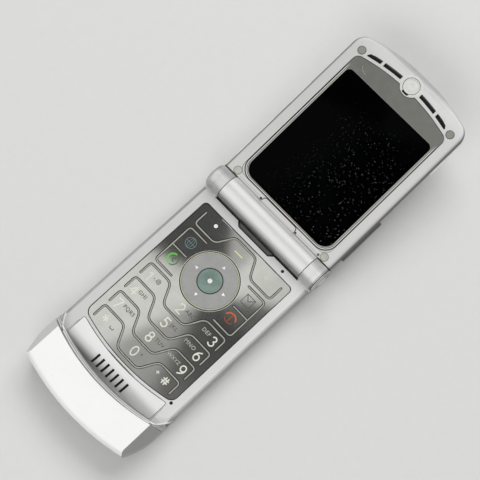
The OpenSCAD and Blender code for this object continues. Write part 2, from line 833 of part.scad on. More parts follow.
module flex_cover() {
  color("#5b5d5f") to_chin() translate([0, 0, split_z]) linear_extrude(base_t - split_z - 0.4)
    polygon([[-notch_x + 0.5, front_y], [notch_x - 0.5, front_y],
      [notch_in_x - 0.2, front_y + notch_l - 0.1], [0.2 - notch_in_x, front_y + notch_l - 0.1]]);
}

module base_screws() {
  color("#6f7275") to_chin() screw_places() difference() {
    union() {
      translate([0, 0, 0.2]) cylinder(h = 0.8, r = screw_head_r, $fn = small_fn);
      translate([0, 0, 0.9]) cylinder(h = split_z + 0.8, r = screw_r, $fn = small_fn);
    }
    translate([0, 0, -over]) cylinder(h = over + 0.6, r = 0.6, $fn = 6);
  }
}

// ---------- lid, drawn in its own frame ----------

// Outer form of the lid. Its corner discs stand a hair past the tip's arc, so the two cross cleanly
module lid_form() {
  far_y = lid_len - lid_end_r + corner_lap
    + sqrt(pow(lid_end_r - lid_corner_r, 2) - pow(lid_half - lid_corner_r, 2));
  meet_x = (lid_half - lid_corner_r) * lid_end_r / (lid_end_r - lid_corner_r);
  intersection() {
    union() {
      bar_y(lid_half, lid_foot, far_y, lid_back, lid_face, lid_back_r, lid_rim_r);
      intersection() {
        translate([0, lid_len - lid_end_r, 0]) rotate_extrude($fn = arc_fn)
          disc_section(lid_end_r, lid_back, lid_face, lid_back_r, lid_rim_r);
        box([-meet_x, far_y - over, lid_back - over], [meet_x, lid_len + over, lid_face + over]);
      }
      for (s = [-1, 1]) translate([s * (lid_half - lid_corner_r), far_y, 0])
        disc(lid_corner_r, lid_back, lid_face, lid_back_r, lid_rim_r);
    }
    // the tip is rounded to sit in the ramp when the lid is shut
    across(-lid_half - over, lid_half + over) {
      translate([ramp_y, lid_ramp_z]) circle(lid_ramp_r);
      translate([0, lid_back - over]) square([ramp_y, lid_t + 2 * over]);
    }
  }
}

module lid_plan(inset) {
  arched(lid_half - inset, lid_foot + inset, lid_len - inset, lid_end_r - inset, 0.5,
    lid_corner_r - inset);
}

module lens_plan(grow) {
  difference() {
    arched(lens_half + grow, lens_y - grow, lens_end_y + grow, lens_end_r + grow,
      lens_foot_corner + grow, lens_corner + grow);
    translate([0, badge_y]) circle(badge_d / 2 + badge_ring - grow);
  }
}

// Slots over the earpiece, along the tip's arc
module ear_slots() {
  intersection() {
    difference() {
      translate([0, badge_y - lens_end_r]) circle(lens_end_r + ear_slot_w / 2 - 0.1,
        $fn = arc_fn);
      translate([0, badge_y - lens_end_r]) circle(lens_end_r - ear_slot_w / 2 - 0.1,
        $fn = arc_fn);
    }
    union() for (m = [0, 1]) mirror([m, 0, 0]) {
      translate([4.6, badge_y - 4]) square([7.7, 6]);
      polygon([[13.4, badge_y - 4], [18.9, badge_y - 4], [18.9, badge_y - 2.6],
        [17.0, badge_y], [13.4, badge_y]]);
    }
  }
}

// Opening or block for a side key: side -1 is left, 1 is right
module side_block(side, y, l, out, deep, grow) {
  x0 = lid_half - deep;
  x1 = lid_half + out;
  scale([side, 1, 1]) box([x0, y - grow, side_key_z - side_key_h / 2 - grow],
    [x1, y + l + grow, side_key_z + side_key_h / 2 + grow]);
}

module lid_inner_housing() {
  color("#cfd0d1") on_lid() difference() {
    union() {
      intersection() {
        lid_form();
        box([-lid_half - over, 0, lid_split], [lid_half + over, lid_len + over, lid_face + 1]);
      }
      // raised tab at the lid's foot
      box([-tab_x, lid_foot, lens_top], [tab_x, lens_y - 0.7, lid_face + tab_up]);
    }
    translate([0, 0, lens_z]) linear_extrude(2) lens_plan(fit);
    translate([0, 0, lid_split - over]) linear_extrude(3) lens_plan(-1.0);
    translate([0, 0, lid_split - over]) linear_extrude(lid_hollow_z - lid_split + over)
      intersection() {
        lid_plan(lid_wall);
        translate([-lid_half, 0]) square([lid_w, ramp_y + 2.2]);
      }
    translate([0, 0, lid_split]) linear_extrude(3) ear_slots();
    translate([0, badge_y, lid_face - 0.6]) cylinder(h = 2, r = badge_d / 2 + 0.15);
    translate([-1.4, badge_y - badge_d / 2 - 0.45, lid_face - 0.6]) cube([2.8, 0.5, 2]);
    for (x = [-bumper_x, bumper_x], y = bumper_ys)
      translate([x, y, lid_face - bumper_t]) cylinder(h = 2, r = bumper_d / 2 + 0.05);
    translate([lens_half - 2.3, lens_y - 1.2, lid_face - 0.5])
      cylinder(h = 2, r = 0.45, $fn = small_fn);
  }
}

module lid_outer_housing() {
  web_top = lens_top - 0.4;
  web_low = barrel_r - 0.2;
  color("#c2c4c6") on_lid() difference() {
    union() {
      intersection() {
        lid_form();
        box([-lid_half - over, 0, lid_back - over],
          [lid_half + over, lid_len + over, lid_split - lid_seam]);
      }
      rod_x(-barrel_l / 2, barrel_l / 2, barrel_r);
      // web between the barrel and the lid's foot
      box([-barrel_l / 2, 0, -web_low], [barrel_l / 2, lid_foot + 0.4, lid_split - lid_seam]);
      box([-barrel_l / 2, 0, -web_low], [barrel_l / 2, lid_foot - 0.05, web_top]);
    }
    // hollow barrel, closed at its left end by the bearing of the left pin
    rod_x(bearing_l - barrel_l / 2, barrel_l, bore_r);
    rod_x(-barrel_l, barrel_l, pin_r + pin_clear);
    // hollow lid, narrower at the bottom where the edge is round
    translate([0, 0, lid_back + lid_wall]) linear_extrude(lid_t) lid_plan(lid_wall + 0.7);
    translate([0, 0, lid_back + lid_wall + 0.8]) linear_extrude(lid_t) lid_plan(lid_wall);
    // passage for the flexible cable
    box([-6.5, 0, lid_board_z - 0.7], [6.5, lid_foot + 2, lid_board_z + 0.1]);
    // side openings
    side_block(-1, volume_y, volume_l, 1, side_room, fit);
    side_block(-1, smart_y, smart_l, 1, side_room, fit);
    side_block(1, voice_y, voice_l, 1, side_room, fit);
    side_block(1, cover_y, cover_l, 1, cover_sink, fit);
    side_block(1, port_y - 0.3, port_w + 0.6, 1, side_room, 0);
    // camera and outer lens
    translate([0, camera_y, lid_back - over]) cylinder(h = 3, r = camera_d / 2 + 0.05);
    translate([0, outer_lens_y, lid_back - over]) linear_extrude(outer_lens_t + over)
      rounded(outer_lens_w + 2 * fit, outer_lens_l + 2 * fit, 4);
    translate([0, outer_lens_y, lid_back - over]) linear_extrude(3)
      rounded(outer_lens_w - 2, outer_lens_l - 2, 3);
  }
}

module hinge_cartridge() {
  color("#85888c") on_lid() difference() {
    rod_x(barrel_l / 2 - 0.2 - cartridge_l, barrel_l / 2 - 0.2, bore_r);
    rod_x(0, barrel_l, pin_r + pin_clear);
  }
}

// A roll inside the barrel and a flat tail into the lid
module flex_cable() {
  roll_x0 = bearing_l + 3.6 - barrel_l / 2;
  roll_x1 = barrel_l / 2 - cartridge_l - 1.5;
  color("#b5793a") on_lid() {
    difference() {
      rod_x(roll_x0, roll_x1, 3.3);
      rod_x(roll_x0 - over, roll_x1 + over, 3.1);
    }
    box([-6, 0, lid_board_z - 0.4], [6, lid_board_y + 3, lid_board_z - 0.2]);
    box([-6, lid_board_y + 1, lid_board_z - 0.3], [6, lid_board_y + 3, lid_board_z]);
  }
}

module inner_lens() {
  color("#6b6c68", 0.8) on_lid() translate([0, 0, lens_z]) linear_extrude(lens_t) lens_plan(0);
}

module inner_display() {
  color("#101114") on_lid() {
    translate([0, screen_y + screen_l / 2, display_z]) linear_extrude(display_t)
      rounded(screen_w + 2 * display_edge, screen_l + 2 * display_edge, 1);
    translate([0, screen_y + screen_l / 2, display_z])
      linear_extrude(lens_z - glass_gap - display_z) rounded(screen_w, screen_l, 2.4);
  }
}

module lid_board() {
  color("#2e6b45") on_lid()
    box([-lens_half + 2, lid_board_y, lid_board_z],
      [lens_half - 2, lid_board_y + lid_board_l, lid_board_z + lid_board_t]);
}

module outer_display() {
  low = lid_back + outer_lens_t + 0.05;
  color("#20242a") on_lid() {
    translate([0, outer_lens_y, low]) linear_extrude(lid_board_z - low - 0.05)
      rounded(outer_lens_w - 2.4, outer_lens_l - 2.4, 2.8);
  }
}

module outer_lens() {
  color("#15171a") on_lid() translate([0, outer_lens_y, lid_back]) linear_extrude(outer_lens_t)
    rounded(outer_lens_w, outer_lens_l, 4 - fit);
}

module camera_module() {
  color("#3a3c40") on_lid() translate([0, camera_y, lid_back - camera_out]) difference() {
    cylinder(h = lid_board_z + 0.4 - lid_back + camera_out, r = camera_d / 2);
    translate([0, 0, -over]) cylinder(h = over + 0.5, r = 2);
  }
}

module earpiece() {
  color("#4a4c4f") on_lid() translate([0, badge_y - 1.3, display_z - 0.8])
    linear_extrude(lid_hollow_z - display_z + 0.75) rounded(ear_w, ear_l, 2);
}

module badge_disc() {
  color("#c8cacb") on_lid() translate([0, badge_y, lid_face - 0.6]) difference() {
    cylinder(h = 0.65, r = badge_d / 2);
    translate([0, 0, 0.55]) difference() {
      cylinder(h = 1, r = badge_d / 2 - 0.4);
      translate([0, 0, -over]) cylinder(h = 2, r = badge_d / 2 - 0.7);
    }
  }
}

module rubber_bumpers() {
  color("#a9aaa0") on_lid() for (x = [-bumper_x, bumper_x], y = bumper_ys)
    translate([x, y, 0]) disc(bumper_d / 2, lid_face - bumper_t, lid_face + bumper_up, 0.01, 0.1);
}

module vibration_motor() {
  color("#8f9194") on_lid()
    translate([motor_r + 2.6 - lens_half, screen_y + screen_l + display_edge + 0.4,
      lid_back + lid_wall + motor_r + 0.05]) rotate([-90, 0, 0]) {
        cylinder(h = motor_l, r = motor_r, $fn = small_fn);
        translate([0, 0, motor_l]) cylinder(h = 2, r = 0.5, $fn = small_fn);
      }
}

module data_port() {
  x1 = lid_half - cover_sink - fit;
  lo = side_key_z - port_h / 2;
  color("#b0b2b5") on_lid() difference() {
    box([x1 - port_l, port_y, lo], [x1, port_y + port_w, lo + port_h]);
    box([x1 - port_l + 0.4, port_y + 0.3, lo + 0.3],
      [x1 + over, port_y + port_w - 0.3, lo + port_h - 0.3]);
  }
}

module volume_rocker() {
  color("#b9bbbd") on_lid() difference() {
    side_block(-1, volume_y, volume_l, side_key_out, side_key_in, 0);
    // shallow waist in the middle
    scale([-1, 1, 1]) box([lid_half + side_key_out - 0.2, volume_y + volume_l * 0.4, -6],
      [lid_half + 2, volume_y + volume_l * 0.6, 0]);
  }
}

module smart_key() {
  color("#b9bbbd") on_lid() side_block(-1, smart_y, smart_l, side_key_out, side_key_in, 0);
}

module voice_key() {
  color("#b9bbbd") on_lid() side_block(1, voice_y, voice_l, side_key_out * 0.6, side_key_in, 0);
}

module port_cover() {
  color("#5d6063") on_lid() {
    side_block(1, cover_y, cover_l, cover_out, cover_sink - 0.05, 0);
    // tongue that plugs the port
    box([lid_half - cover_sink - 0.4, port_y + port_w / 2 - tongue_l / 2, side_key_z - 0.6],
      [lid_half - cover_sink + 0.1, port_y + port_w / 2 + tongue_l / 2, side_key_z + 0.6]);
  }
}

// ---------- what is drawn ----------

base_rear_housing();
base_front_housing();
chin_cover();
grille_bar();
keypad_plate();
keypad_mat();
dome_sheet();
main_board();
shield_cans();
battery();
battery_door();
door_latch();
antenna();
loudspeaker();
microphone();
hinge_pins();
hinge_end_caps();
flex_cover();
base_screws();
rocker_carrier();
rocker_ring();
select_button();
for (i = [0 : len(key_names) - 1]) key(i);
lid_outer_housing();
lid_inner_housing();
hinge_cartridge();
flex_cable();
inner_lens();
inner_display();
lid_board();
outer_display();
outer_lens();
camera_module();
earpiece();
badge_disc();
rubber_bumpers();
vibration_motor();
data_port();
volume_rocker();
smart_key();
voice_key();
port_cover();
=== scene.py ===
# %% [markdown]
# # A slim clamshell phone, open on its back
# The solid model comes first. Loading it gives named nodes that already sit in their place, in metres,
# and named bodies that move on their joints. Everything below dresses that frame and never moves it.

# %% Load the frame
import json
from math import cos, pi, radians, sin, sqrt

import bmesh
import bpy
import numpy as np
from mathutils import Matrix, Vector
from mathutils.geometry import delaunay_2d_cdt


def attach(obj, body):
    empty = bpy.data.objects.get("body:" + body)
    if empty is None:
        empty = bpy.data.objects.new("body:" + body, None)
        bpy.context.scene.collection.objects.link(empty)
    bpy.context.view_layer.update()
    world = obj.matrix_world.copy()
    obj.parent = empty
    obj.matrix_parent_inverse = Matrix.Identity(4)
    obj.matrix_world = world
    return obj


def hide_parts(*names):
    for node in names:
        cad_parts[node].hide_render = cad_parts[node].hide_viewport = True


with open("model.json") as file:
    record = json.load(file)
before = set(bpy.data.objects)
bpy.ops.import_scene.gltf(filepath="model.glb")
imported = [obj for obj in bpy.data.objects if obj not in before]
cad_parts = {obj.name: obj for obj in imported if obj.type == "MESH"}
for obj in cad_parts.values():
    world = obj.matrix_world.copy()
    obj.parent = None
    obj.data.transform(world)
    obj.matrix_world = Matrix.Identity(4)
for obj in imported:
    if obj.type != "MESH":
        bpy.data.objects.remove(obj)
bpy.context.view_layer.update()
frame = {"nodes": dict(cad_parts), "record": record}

MM = 0.001
nodes = frame["nodes"]

# %% [markdown]
# ## Camera
# The phone is looked at from above and a little from the chin's side, turned so that it lies across the
# view. Three unit vectors and a place say it all: the camera's right, its up, and the way back from what
# it sees.

# %% Camera
camera_data = bpy.data.cameras.new("camera")
camera_data.lens, camera_data.sensor_width = 92.58, 36
camera = bpy.data.objects.new("camera", camera_data)
look = np.eye(4)
look[:3, 0] = 0.68945, 0.72418, 0.01461
look[:3, 1] = -0.70448, 0.66573, 0.24600
look[:3, 2] = 0.16843, -0.17990, 0.96916
look[:3, 3] = 0.069138, -0.087383, 0.4251
camera.matrix_world = Matrix(look.tolist())
bpy.context.scene.collection.objects.link(camera)
bpy.context.scene.camera = camera
bpy.context.scene.view_settings.view_transform = "Standard"
print("camera", tuple(round(v, 3) for v in camera.location))

# %% [markdown]
# ## Shader arithmetic
# A finish is a small program of nodes. It could be wired node by node, but then nobody sees the formula. So
# one class wraps a socket, and `1 - mask` or `a * b` adds the Math node for it.


# %% Sockets that can be calculated with
def operator(operation, reflected=False):
    """A method that adds the Math node for an operation; reflected puts the other value first."""
    def method(self, other=0.0):
        inputs = {0: other, 1: self} if reflected else {0: self, 1: other}
        return self.finish.node("ShaderNodeMath", {"operation": operation}, inputs)
    return method


class Value:
    """A number or vector that a material's nodes work out."""
    __add__ = __radd__ = operator("ADD")
    __sub__, __rsub__ = operator("SUBTRACT"), operator("SUBTRACT", reflected=True)
    __mul__ = __rmul__ = operator("MULTIPLY")
    __truediv__, __abs__ = operator("DIVIDE"), operator("ABSOLUTE")
    least, most, power = operator("MINIMUM"), operator("MAXIMUM"), operator("POWER")

    def __init__(self, finish, socket):
        self.finish, self.socket = finish, socket

    def between(self, low, high):
        """0 below low, 1 above high, with a smooth step between them."""
        return self.finish.node("ShaderNodeMapRange", {"interpolation_type": "SMOOTHSTEP"},
                                {0: self, 1: low, 2: high, 3: 0.0, 4: 1.0})

    def band(self, low, high, soft):
        """1 from low to high, fading to 0 over soft on both sides."""
        return self.between(low - soft, low) * (1 - self.between(high, high + soft))


print("sockets can be calculated with")

# %% [markdown]
# One method makes any other node from its type, its settings and its inputs. On top of it stand the few
# patterns that all finishes share: clouds of noise, random cells, scattered specks and layers of colour.
# They read millimetres of the frame, so a speck has its real size on every piece.


# %% Trees, finishes and shades
class Tree:
    """The nodes of a material or of the world."""

    def __init__(self, tree):
        self.tree = tree

    def node(self, kind, settings=None, inputs=None, out=0):
        made = self.tree.nodes.new(kind)
        for name, value in (settings or {}).items():
            setattr(made, name, value)
        for name, value in (inputs or {}).items():
            self.plug(made.inputs[name], value)
        return Value(self, made.outputs[out])

    def plug(self, socket, value):
        if isinstance(value, Value):
            self.tree.links.new(value.socket, socket)
        else:
            socket.default_value = value

    def where(self):
        """The place on the piece, in millimetres of the frame."""
        spot = self.node("ShaderNodeTexCoord", out=3)
        return self.node("ShaderNodeVectorMath", {"operation": "SCALE"}, {0: spot, 3: 1000.0})

    def parts(self, vector):
        split = self.node("ShaderNodeSeparateXYZ", inputs={0: vector}).socket.node
        return [Value(self, s) for s in split.outputs]

    def stretch(self, vector, x, y, z):
        return self.node("ShaderNodeVectorMath", {"operation": "MULTIPLY"}, {0: vector, 1: (x, y, z)})

    def noise(self, vector, size, detail=2.0, rough=0.5):
        """Cloudy values about 0.5, with features of that size in millimetres."""
        return self.node("ShaderNodeTexNoise", {}, {"Vector": vector, "Scale": 1 / size,
                         "Detail": detail, "Roughness": rough})

    def cells(self, vector, size):
        """A random value for each cell of that size, and the distance from the cell's middle."""
        cell = self.node("ShaderNodeTexVoronoi", {}, {"Vector": vector, "Scale": 1 / size})
        shade = Value(self, cell.socket.node.outputs["Color"])
        return self.parts(shade)[0], cell

    def specks(self, vector, spacing, size, share):
        """1 on small dots, about spacing apart, where only this share of the places has a dot."""
        pick, far = self.cells(vector, spacing)
        return (1 - far.between(size / spacing * 0.6, size / spacing)) * pick.between(1 - share, 1.02 - share)

    def layers(self, colour, *layers):
        """The colour with others laid over it, each from a mask and levels from 0 to 255."""
        for mask, tone in layers:
            colour = self.mix(mask, colour, shade(*tone))
        return colour

    def mix(self, amount, low, high):
        """The colour low where amount is 0, and high where it is 1."""
        low, high = (c if isinstance(c, Value) else (*c, 1.0) for c in (low, high))
        return self.node("ShaderNodeMix", {"data_type": "RGBA", "clamp_factor": True},
                         {0: amount, 6: low, 7: high}, out=2)


class Finish(Tree):
    """A material with one Principled shader."""

    def __init__(self, name):
        self.material = bpy.data.materials.new(name)
        self.material.use_nodes = True
        super().__init__(self.material.node_tree)
        self.shader = next(n for n in self.tree.nodes if n.type == "BSDF_PRINCIPLED")

    def set(self, **values):
        """Puts values into the shader's inputs, whose names have _ for a space here."""
        for name, value in values.items():
            self.plug(self.shader.inputs[name.replace("_", " ")], value)

    def bump(self, height, depth, strength):
        """Raised by height times depth, in millimetres."""
        inputs = {"Strength": strength, "Distance": depth * MM, "Height": height}
        self.set(Normal=self.node("ShaderNodeBump", {}, inputs))


def grey(level):
    """The linear value of a grey that shows as level, from 0 to 255."""
    c = level / 255
    return c / 12.92 if c <= 0.04045 else ((c + 0.055) / 1.055) ** 2.4


def shade(red, green, blue):
    return grey(red), grey(green), grey(blue)


print("a grey of 128 is", round(grey(128), 4), "in linear light")

# %% [markdown]
# ## Silver paint
# The casing's silver is a clear coat over metal flakes. Its tone is a product of factors, each a smooth step
# of the direction the face looks in, or of a place in millimetres, and most of them are painted light and
# shade: painted shade where a face turns away, painted highlights, and the light and shade of the rim, the
# creases and the hollow ramp. Cells give each flake its own brightness, noise gives the orange-peel of the
# coat, and specks are the dark chips of a used phone.


# %% Factors of the tone
def painted_shade_by_facing(x, y, left, right, hinge_side, chin_side, chin_start, painted_sheen, band):
    """Painted shade for a face that looks along x, y: 1 less a share that grows from 0, facing up, to its side.
    painted_sheen paints faces towards the chin lighter, a painted highlight, and band paints a darker band
    where a face leans a little towards the hinge.
    """
    tone = (1 - x.between(0.05, 0.9) * right) * (1 - (0 - x).between(0.05, 0.9) * left)
    tone = tone * (1 - y.between(0.0, 0.6) * hinge_side)
    tone = tone * (1 - (0 - y).between(chin_start, 0.98) * chin_side)
    tone = tone * (1 + (0 - y).between(0.0, 0.6) * painted_sheen - painted_sheen * 0.4)
    return tone * (1 - y.band(0.22, 0.42, 0.14) * band) if band else tone


def rim_painted_shade(x, y, rim):
    """Painted light and shade of the lid's rim, whose top is flat in the shell: darker at both sides, lighter
    towards its tip, and darker where it rolls away there.
    """
    sides = 1 - x.between(24.2, 26.6) * rim - (0 - x).between(25.0, 26.2) * rim * 1.1
    return sides * (1 + (y - 66).between(0, 5) * 0.10 - (y - 71).between(0, 3) * 0.25)


def hollow_painted_shade(x, y):
    """Painted shade in the bar's hollow: darker towards the chin on the left, and darkest in its middle on the
    right.
    """
    near_left = (0 - y).between(69.5, 76.6).power(2.5) * 0.8
    near_right = (0 - y).between(70.5, 74.2) * 0.42 - (0 - y).between(74.2, 76.6) * 0.1
    share = x.between(-14, 14)
    return 1 - (near_left * (1 - share) + near_right * share)


def ledge_seams_and_painted_light(x, y, z):
    """Fine dark seam lines round the ledge above the grille bar, with painted highlights between them, by the
    distance from the arc's centre; and on the two cheeks beside it the painted shade and highlight of a crease,
    by the distance from a crease y = -75.6 + 4.9 ((|x| - 21) / 5)^2.1."""
    far = (x * x + (y - 0.6) * (y - 0.6)).power(0.5)
    lines = far.band(78.5, 78.62, 0.06) + far.band(79.02, 79.12, 0.06) + far.band(79.66, 80.4, 0.06)
    lit = far.band(78.7, 78.95, 0.05) + far.band(79.2, 79.6, 0.05)
    top_side = z.between(5.2, 6.4) * (0 - y).between(60, 66)
    crease = (y + 75.6) - ((abs(x) - 21.0) / 5.0).most(0.0).power(2.1) * 4.9
    cheek = top_side * abs(x).between(21.4, 21.9)
    # Painted shade beyond the crease, a painted highlight along it, and painted shade in the hollow beside it.
    below = (0 - crease).between(0.55, 0.8) * (x.between(-1, 1) * 0.28 + 0.30)
    crease_light_and_shade = crease.band(-0.1, 0.3, 0.15) * -0.3 + crease.band(-0.55, -0.25, 0.1) * 0.75
    crease_light_and_shade = crease_light_and_shade - crease.band(-0.95, -0.8, 0.1) * 0.2
    crease_hollow_shade = crease.between(0.2, 0.9) * (1 - crease.between(1.5, 4.0)) * 0.16
    return (1 - (lines.least(1.0) * 0.32 - lit * 0.6) * top_side) * (1 - (below + crease_light_and_shade + crease_hollow_shade) * cheek)


print("tone factors ready")

# %% [markdown]
# The parts of the casing face the light in different ways, so each has a paint of its own, with its own
# painted shade. One function makes them all, and a table gives the level of grey and how much painted shade
# each direction gets.


# %% Silver paints of the casing
def silver_paint(name, level, metallic=0.6, rough=0.36, flake=0.08, chips=0.30, left=0.33, right=0.62,
                 hinge_side=0.0, chin_side=0.0, chin_start=0.55, painted_sheen=0.0, band=0.0, tilt=0.0, rim=0.0,
                 hollow=False, ledge=False):
    """Flakes under a coat, with painted light and shade. From left on, the arguments say how much painted
    shade it gets where it turns away, how much painted_sheen lightens it towards the chin, how much lighter
    tilt paints it towards +x, and whether it takes the painted light and shade of the rim, hollow or ledge.
    """
    finish = Finish(name)
    spot = finish.where()
    flakes, _ = finish.cells(spot, 0.09)
    cloud, fine = finish.noise(spot, 9.0, 3.0), finish.noise(spot, 0.5, 3.0)
    facing_x, facing_y, _ = finish.parts(finish.node("ShaderNodeTexCoord", out=1))
    x, y, z = finish.parts(spot)
    # bright: painted shade by facing, then painted light and shade by place, then flakes and orange-peel.
    bright = painted_shade_by_facing(facing_x, facing_y, left, right, hinge_side, chin_side, chin_start, painted_sheen, band)
    # Painted light: lighter towards +x by tilt for each millimetre.
    bright = bright * (1 + x * tilt)
    if rim:
        bright = bright * rim_painted_shade(x, y, rim)
    if hollow:
        bright = bright * hollow_painted_shade(x, y)
    if ledge:
        bright = bright * ledge_seams_and_painted_light(x, y, z)
    bright = bright * (1.0 + (flakes - 0.5) * flake + (cloud - 0.5) * 0.06 + (fine - 0.5) * 0.06)
    chip = finish.specks(spot, 2.3, 0.13, chips).most(finish.specks(spot, 6.1, 0.2, 0.5) * 0.7)
    base = (grey(level), grey(level), grey(level) * 0.985)
    tone = finish.node("ShaderNodeVectorMath", {"operation": "SCALE"}, {0: base, 3: bright})
    finish.set(Base_Color=finish.mix(chip * 0.6, tone, shade(96, 94, 90)), Metallic=metallic - chip * 0.4,
               Roughness=rough + (fine - 0.5) * 0.08 + (flakes - 0.5) * 0.05 + chip * 0.2,
               Coat_Weight=0.25, Coat_Roughness=0.12)
    finish.bump(fine * 0.5 + flakes * 0.1 - chip, 0.012, 0.4)
    return finish.material


finishes = {name: silver_paint(name, **values) for name, values in {
    "body_silver": dict(level=226, metallic=0.55, chips=0.4, right=0.45, hinge_side=0.22, chin_side=0.4,
                        band=0.18, tilt=0.003, ledge=True),
    "rim_silver": dict(level=219, metallic=0.55, chips=0.35, left=0.5, right=0.7, rim=0.5, tilt=0.002),
    "chin_silver": dict(level=254, metallic=0.1, rough=0.34, flake=0.03, chips=0.08, left=0.4, right=0.72),
    "trim_silver": dict(level=248, metallic=0.5, rough=0.34, flake=0.02, chips=0.03, hinge_side=0.38,
                        hollow=True),
    "side_silver": dict(level=255, metallic=0.0, rough=0.3, flake=0.03, chips=0.1, left=0.0, right=0.0),
    "lid_silver": dict(level=232, metallic=0.5, rough=0.34, flake=0.09, hinge_side=-0.14, chin_side=0.8,
                       chin_start=0.72, painted_sheen=0.15),
}.items()}
print("silver paints", len(finishes))

# %% [markdown]
# ## Metals, plastics and rubbers
# Sheet metal keeps the fine lines of its rolling, a moulding has the grain of its spark-eroded mould, and
# rubber holds dust. So a metal is noise stretched along the grain, and a moulding is a fine noise that sets
# its colour, its roughness and a shallow bump. Two functions make them all, and three tables name them.


# %% Metals, plastics and rubbers
def metal(name, colour, rough, grain=(1.0, 1.0, 1.0), grain_size=0.3, spread=0.10, metallic=1.0, depth=0.01):
    """Metal with a fine grain; grain stretches it along the directions with small values."""
    finish = Finish(name)
    spot, colour = finish.where(), shade(*colour)
    lines = finish.noise(finish.stretch(spot, *grain), grain_size, 4.0, 0.6)
    cloud = finish.noise(spot, 4.0, 3.0)
    dark = tuple(c * 0.82 for c in colour)
    finish.set(Base_Color=finish.mix((lines * 0.6 + cloud * 0.4).between(0.25, 0.75), dark, colour),
               Metallic=metallic, Roughness=rough + (lines - 0.5) * spread + (cloud - 0.5) * spread)
    if depth:
        finish.bump(lines, depth, 0.25)
    return finish.material


def moulded(name, colour, rough=0.5, grain_size=0.12, depth=0.02, vary=0.12, dust=0.0, coat=0.0):
    """Plastic or rubber with a spark-eroded grain and a little dust in it."""
    finish = Finish(name)
    spot = finish.where()
    grain, cloud = finish.noise(spot, grain_size, 3.0), finish.noise(spot, 5.0, 2.0)
    dark, light = (tuple(min(1.0, c * (1 + s)) for c in shade(*colour)) for s in (-vary, vary))
    tone = finish.mix((grain * 0.5 + cloud * 0.5).between(0.3, 0.7), dark, light)
    fluff = finish.specks(spot, 0.55, 0.09, 0.5)
    finish.set(Base_Color=finish.mix(fluff * dust, tone, shade(205, 205, 198)),
               Roughness=rough + (grain - 0.5) * 0.2)
    finish.bump(grain, depth, 0.4)
    if coat:
        finish.set(Coat_Weight=coat, Coat_Roughness=0.08)
    return finish.material


METALS = {
    "bright_trim": dict(colour=(226, 226, 224), rough=0.16, spread=0.06),
    "lip_bright": dict(colour=(236, 236, 232), rough=0.25, grain_size=0.5, metallic=0.55),
    "ring_lime": dict(colour=(196, 198, 168), rough=0.3, grain_size=0.5, metallic=0.6),
    "badge_satin": dict(colour=(238, 238, 233), rough=0.36, grain_size=0.25, metallic=0.5),
    "hinge_steel": dict(colour=(178, 180, 182), rough=0.28, grain=(0.2, 3, 3)),
    "tinned_steel": dict(colour=(196, 197, 199), rough=0.34, grain=(0.3, 3, 3)),
    "dome_metal": dict(colour=(206, 190, 140), rough=0.3),
    "flex_copper": dict(colour=(190, 124, 62), rough=0.35, grain=(3, 0.2, 3)),
    "rocker_grey": dict(colour=(172, 172, 171), rough=0.42, grain_size=0.5, metallic=0.35),
    "keypad_nickel": dict(colour=(222, 222, 216), rough=0.055, grain_size=0.2, spread=0.02, depth=0.0),
}
MOULDINGS = {
    "grey_plastic": dict(colour=(150, 151, 152)),
    "black_plastic": dict(colour=(30, 30, 31), dust=0.35),
    "dark_rubber": dict(colour=(112, 112, 108), rough=0.62, grain_size=0.3, depth=0.03, dust=0.12),
    "port_grey": dict(colour=(92, 92, 90), grain_size=0.3, dust=0.1),
    "bumper_rubber": dict(colour=(184, 184, 174), rough=0.55, dust=0.1),
    "bumper_worn": dict(colour=(142, 142, 134), rough=0.6, dust=0.1),
    "dark_lens": dict(colour=(20, 21, 24), rough=0.2, depth=0.0, coat=1.0, dust=0.1),
    "display_black": dict(colour=(12, 12, 14), rough=0.3, depth=0.0),
    "circuit_board": dict(colour=(36, 98, 62), rough=0.4, grain_size=0.5, vary=0.25),
    "battery_wrap": dict(colour=(58, 68, 80), rough=0.45, grain_size=0.4),
    "antenna_plastic": dict(colour=(196, 170, 104)),
    "silicone": dict(colour=(188, 188, 178), rough=0.6, grain_size=0.2),
    "select_green": dict(colour=(118, 138, 131), rough=0.4, grain_size=0.35, depth=0.05, vary=0.3, coat=0.4),
    "select_well": dict(colour=(58, 62, 44), depth=0.0),
    "hole_dark": dict(colour=(14, 14, 14), rough=0.8, depth=0.0),
    "groove_grey": dict(colour=(176, 177, 168), rough=0.6, grain_size=0.3, depth=0.0),
}
LACQUERS = {"legend_cream": (226, 226, 212), "legend_dim": (92, 92, 86), "legend_soft": (172, 172, 162),
            "legend_white": (240, 240, 234), "legend_lime": (214, 216, 168), "legend_teal": (112, 140, 144),
            "legend_slate": (66, 74, 76), "legend_green": (98, 200, 66), "legend_leaf": (62, 112, 62),
            "legend_orange": (206, 104, 58), "legend_rust": (140, 76, 40)}
finishes |= {name: metal(name, **values) for name, values in METALS.items()}
finishes |= {name: moulded(name, **values) for name, values in MOULDINGS.items()}
finishes |= {name: moulded(name, tone, depth=0.0) for name, tone in LACQUERS.items()}
print("finishes", len(finishes))

# %% [markdown]
# ## Drawing in the phone's own directions
# The base is drawn with distances from the hinge axis towards the chin, and the lid flat, hinge axis at the
# origin. So a number is what a ruler on that part would show, although the open lid leans. Two functions
# turn such drawings, in millimetres, into the frame.

# %% Places
HINGE_Z, LID_TILT = 8.9, radians(9)
BASE_TOP, RAMP_Y, RAMP_R = 7.4, 72.55, 6.0
FACE, BACK = 1.3, -5.1


def on_base(points):
    """x stays, the distance towards the chin becomes -y, and millimetres become metres."""
    return points * (1, -1, 1) * MM


def on_lid(points):
    """The drawing turns by the lid's tilt about X and rises to the hinge axis."""
    x, y, z = points.T
    return np.stack([x, y * cos(LID_TILT) - z * sin(LID_TILT),
                     HINGE_Z + y * sin(LID_TILT) + z * cos(LID_TILT)], 1) * MM


def in_frame(points):
    return points * MM


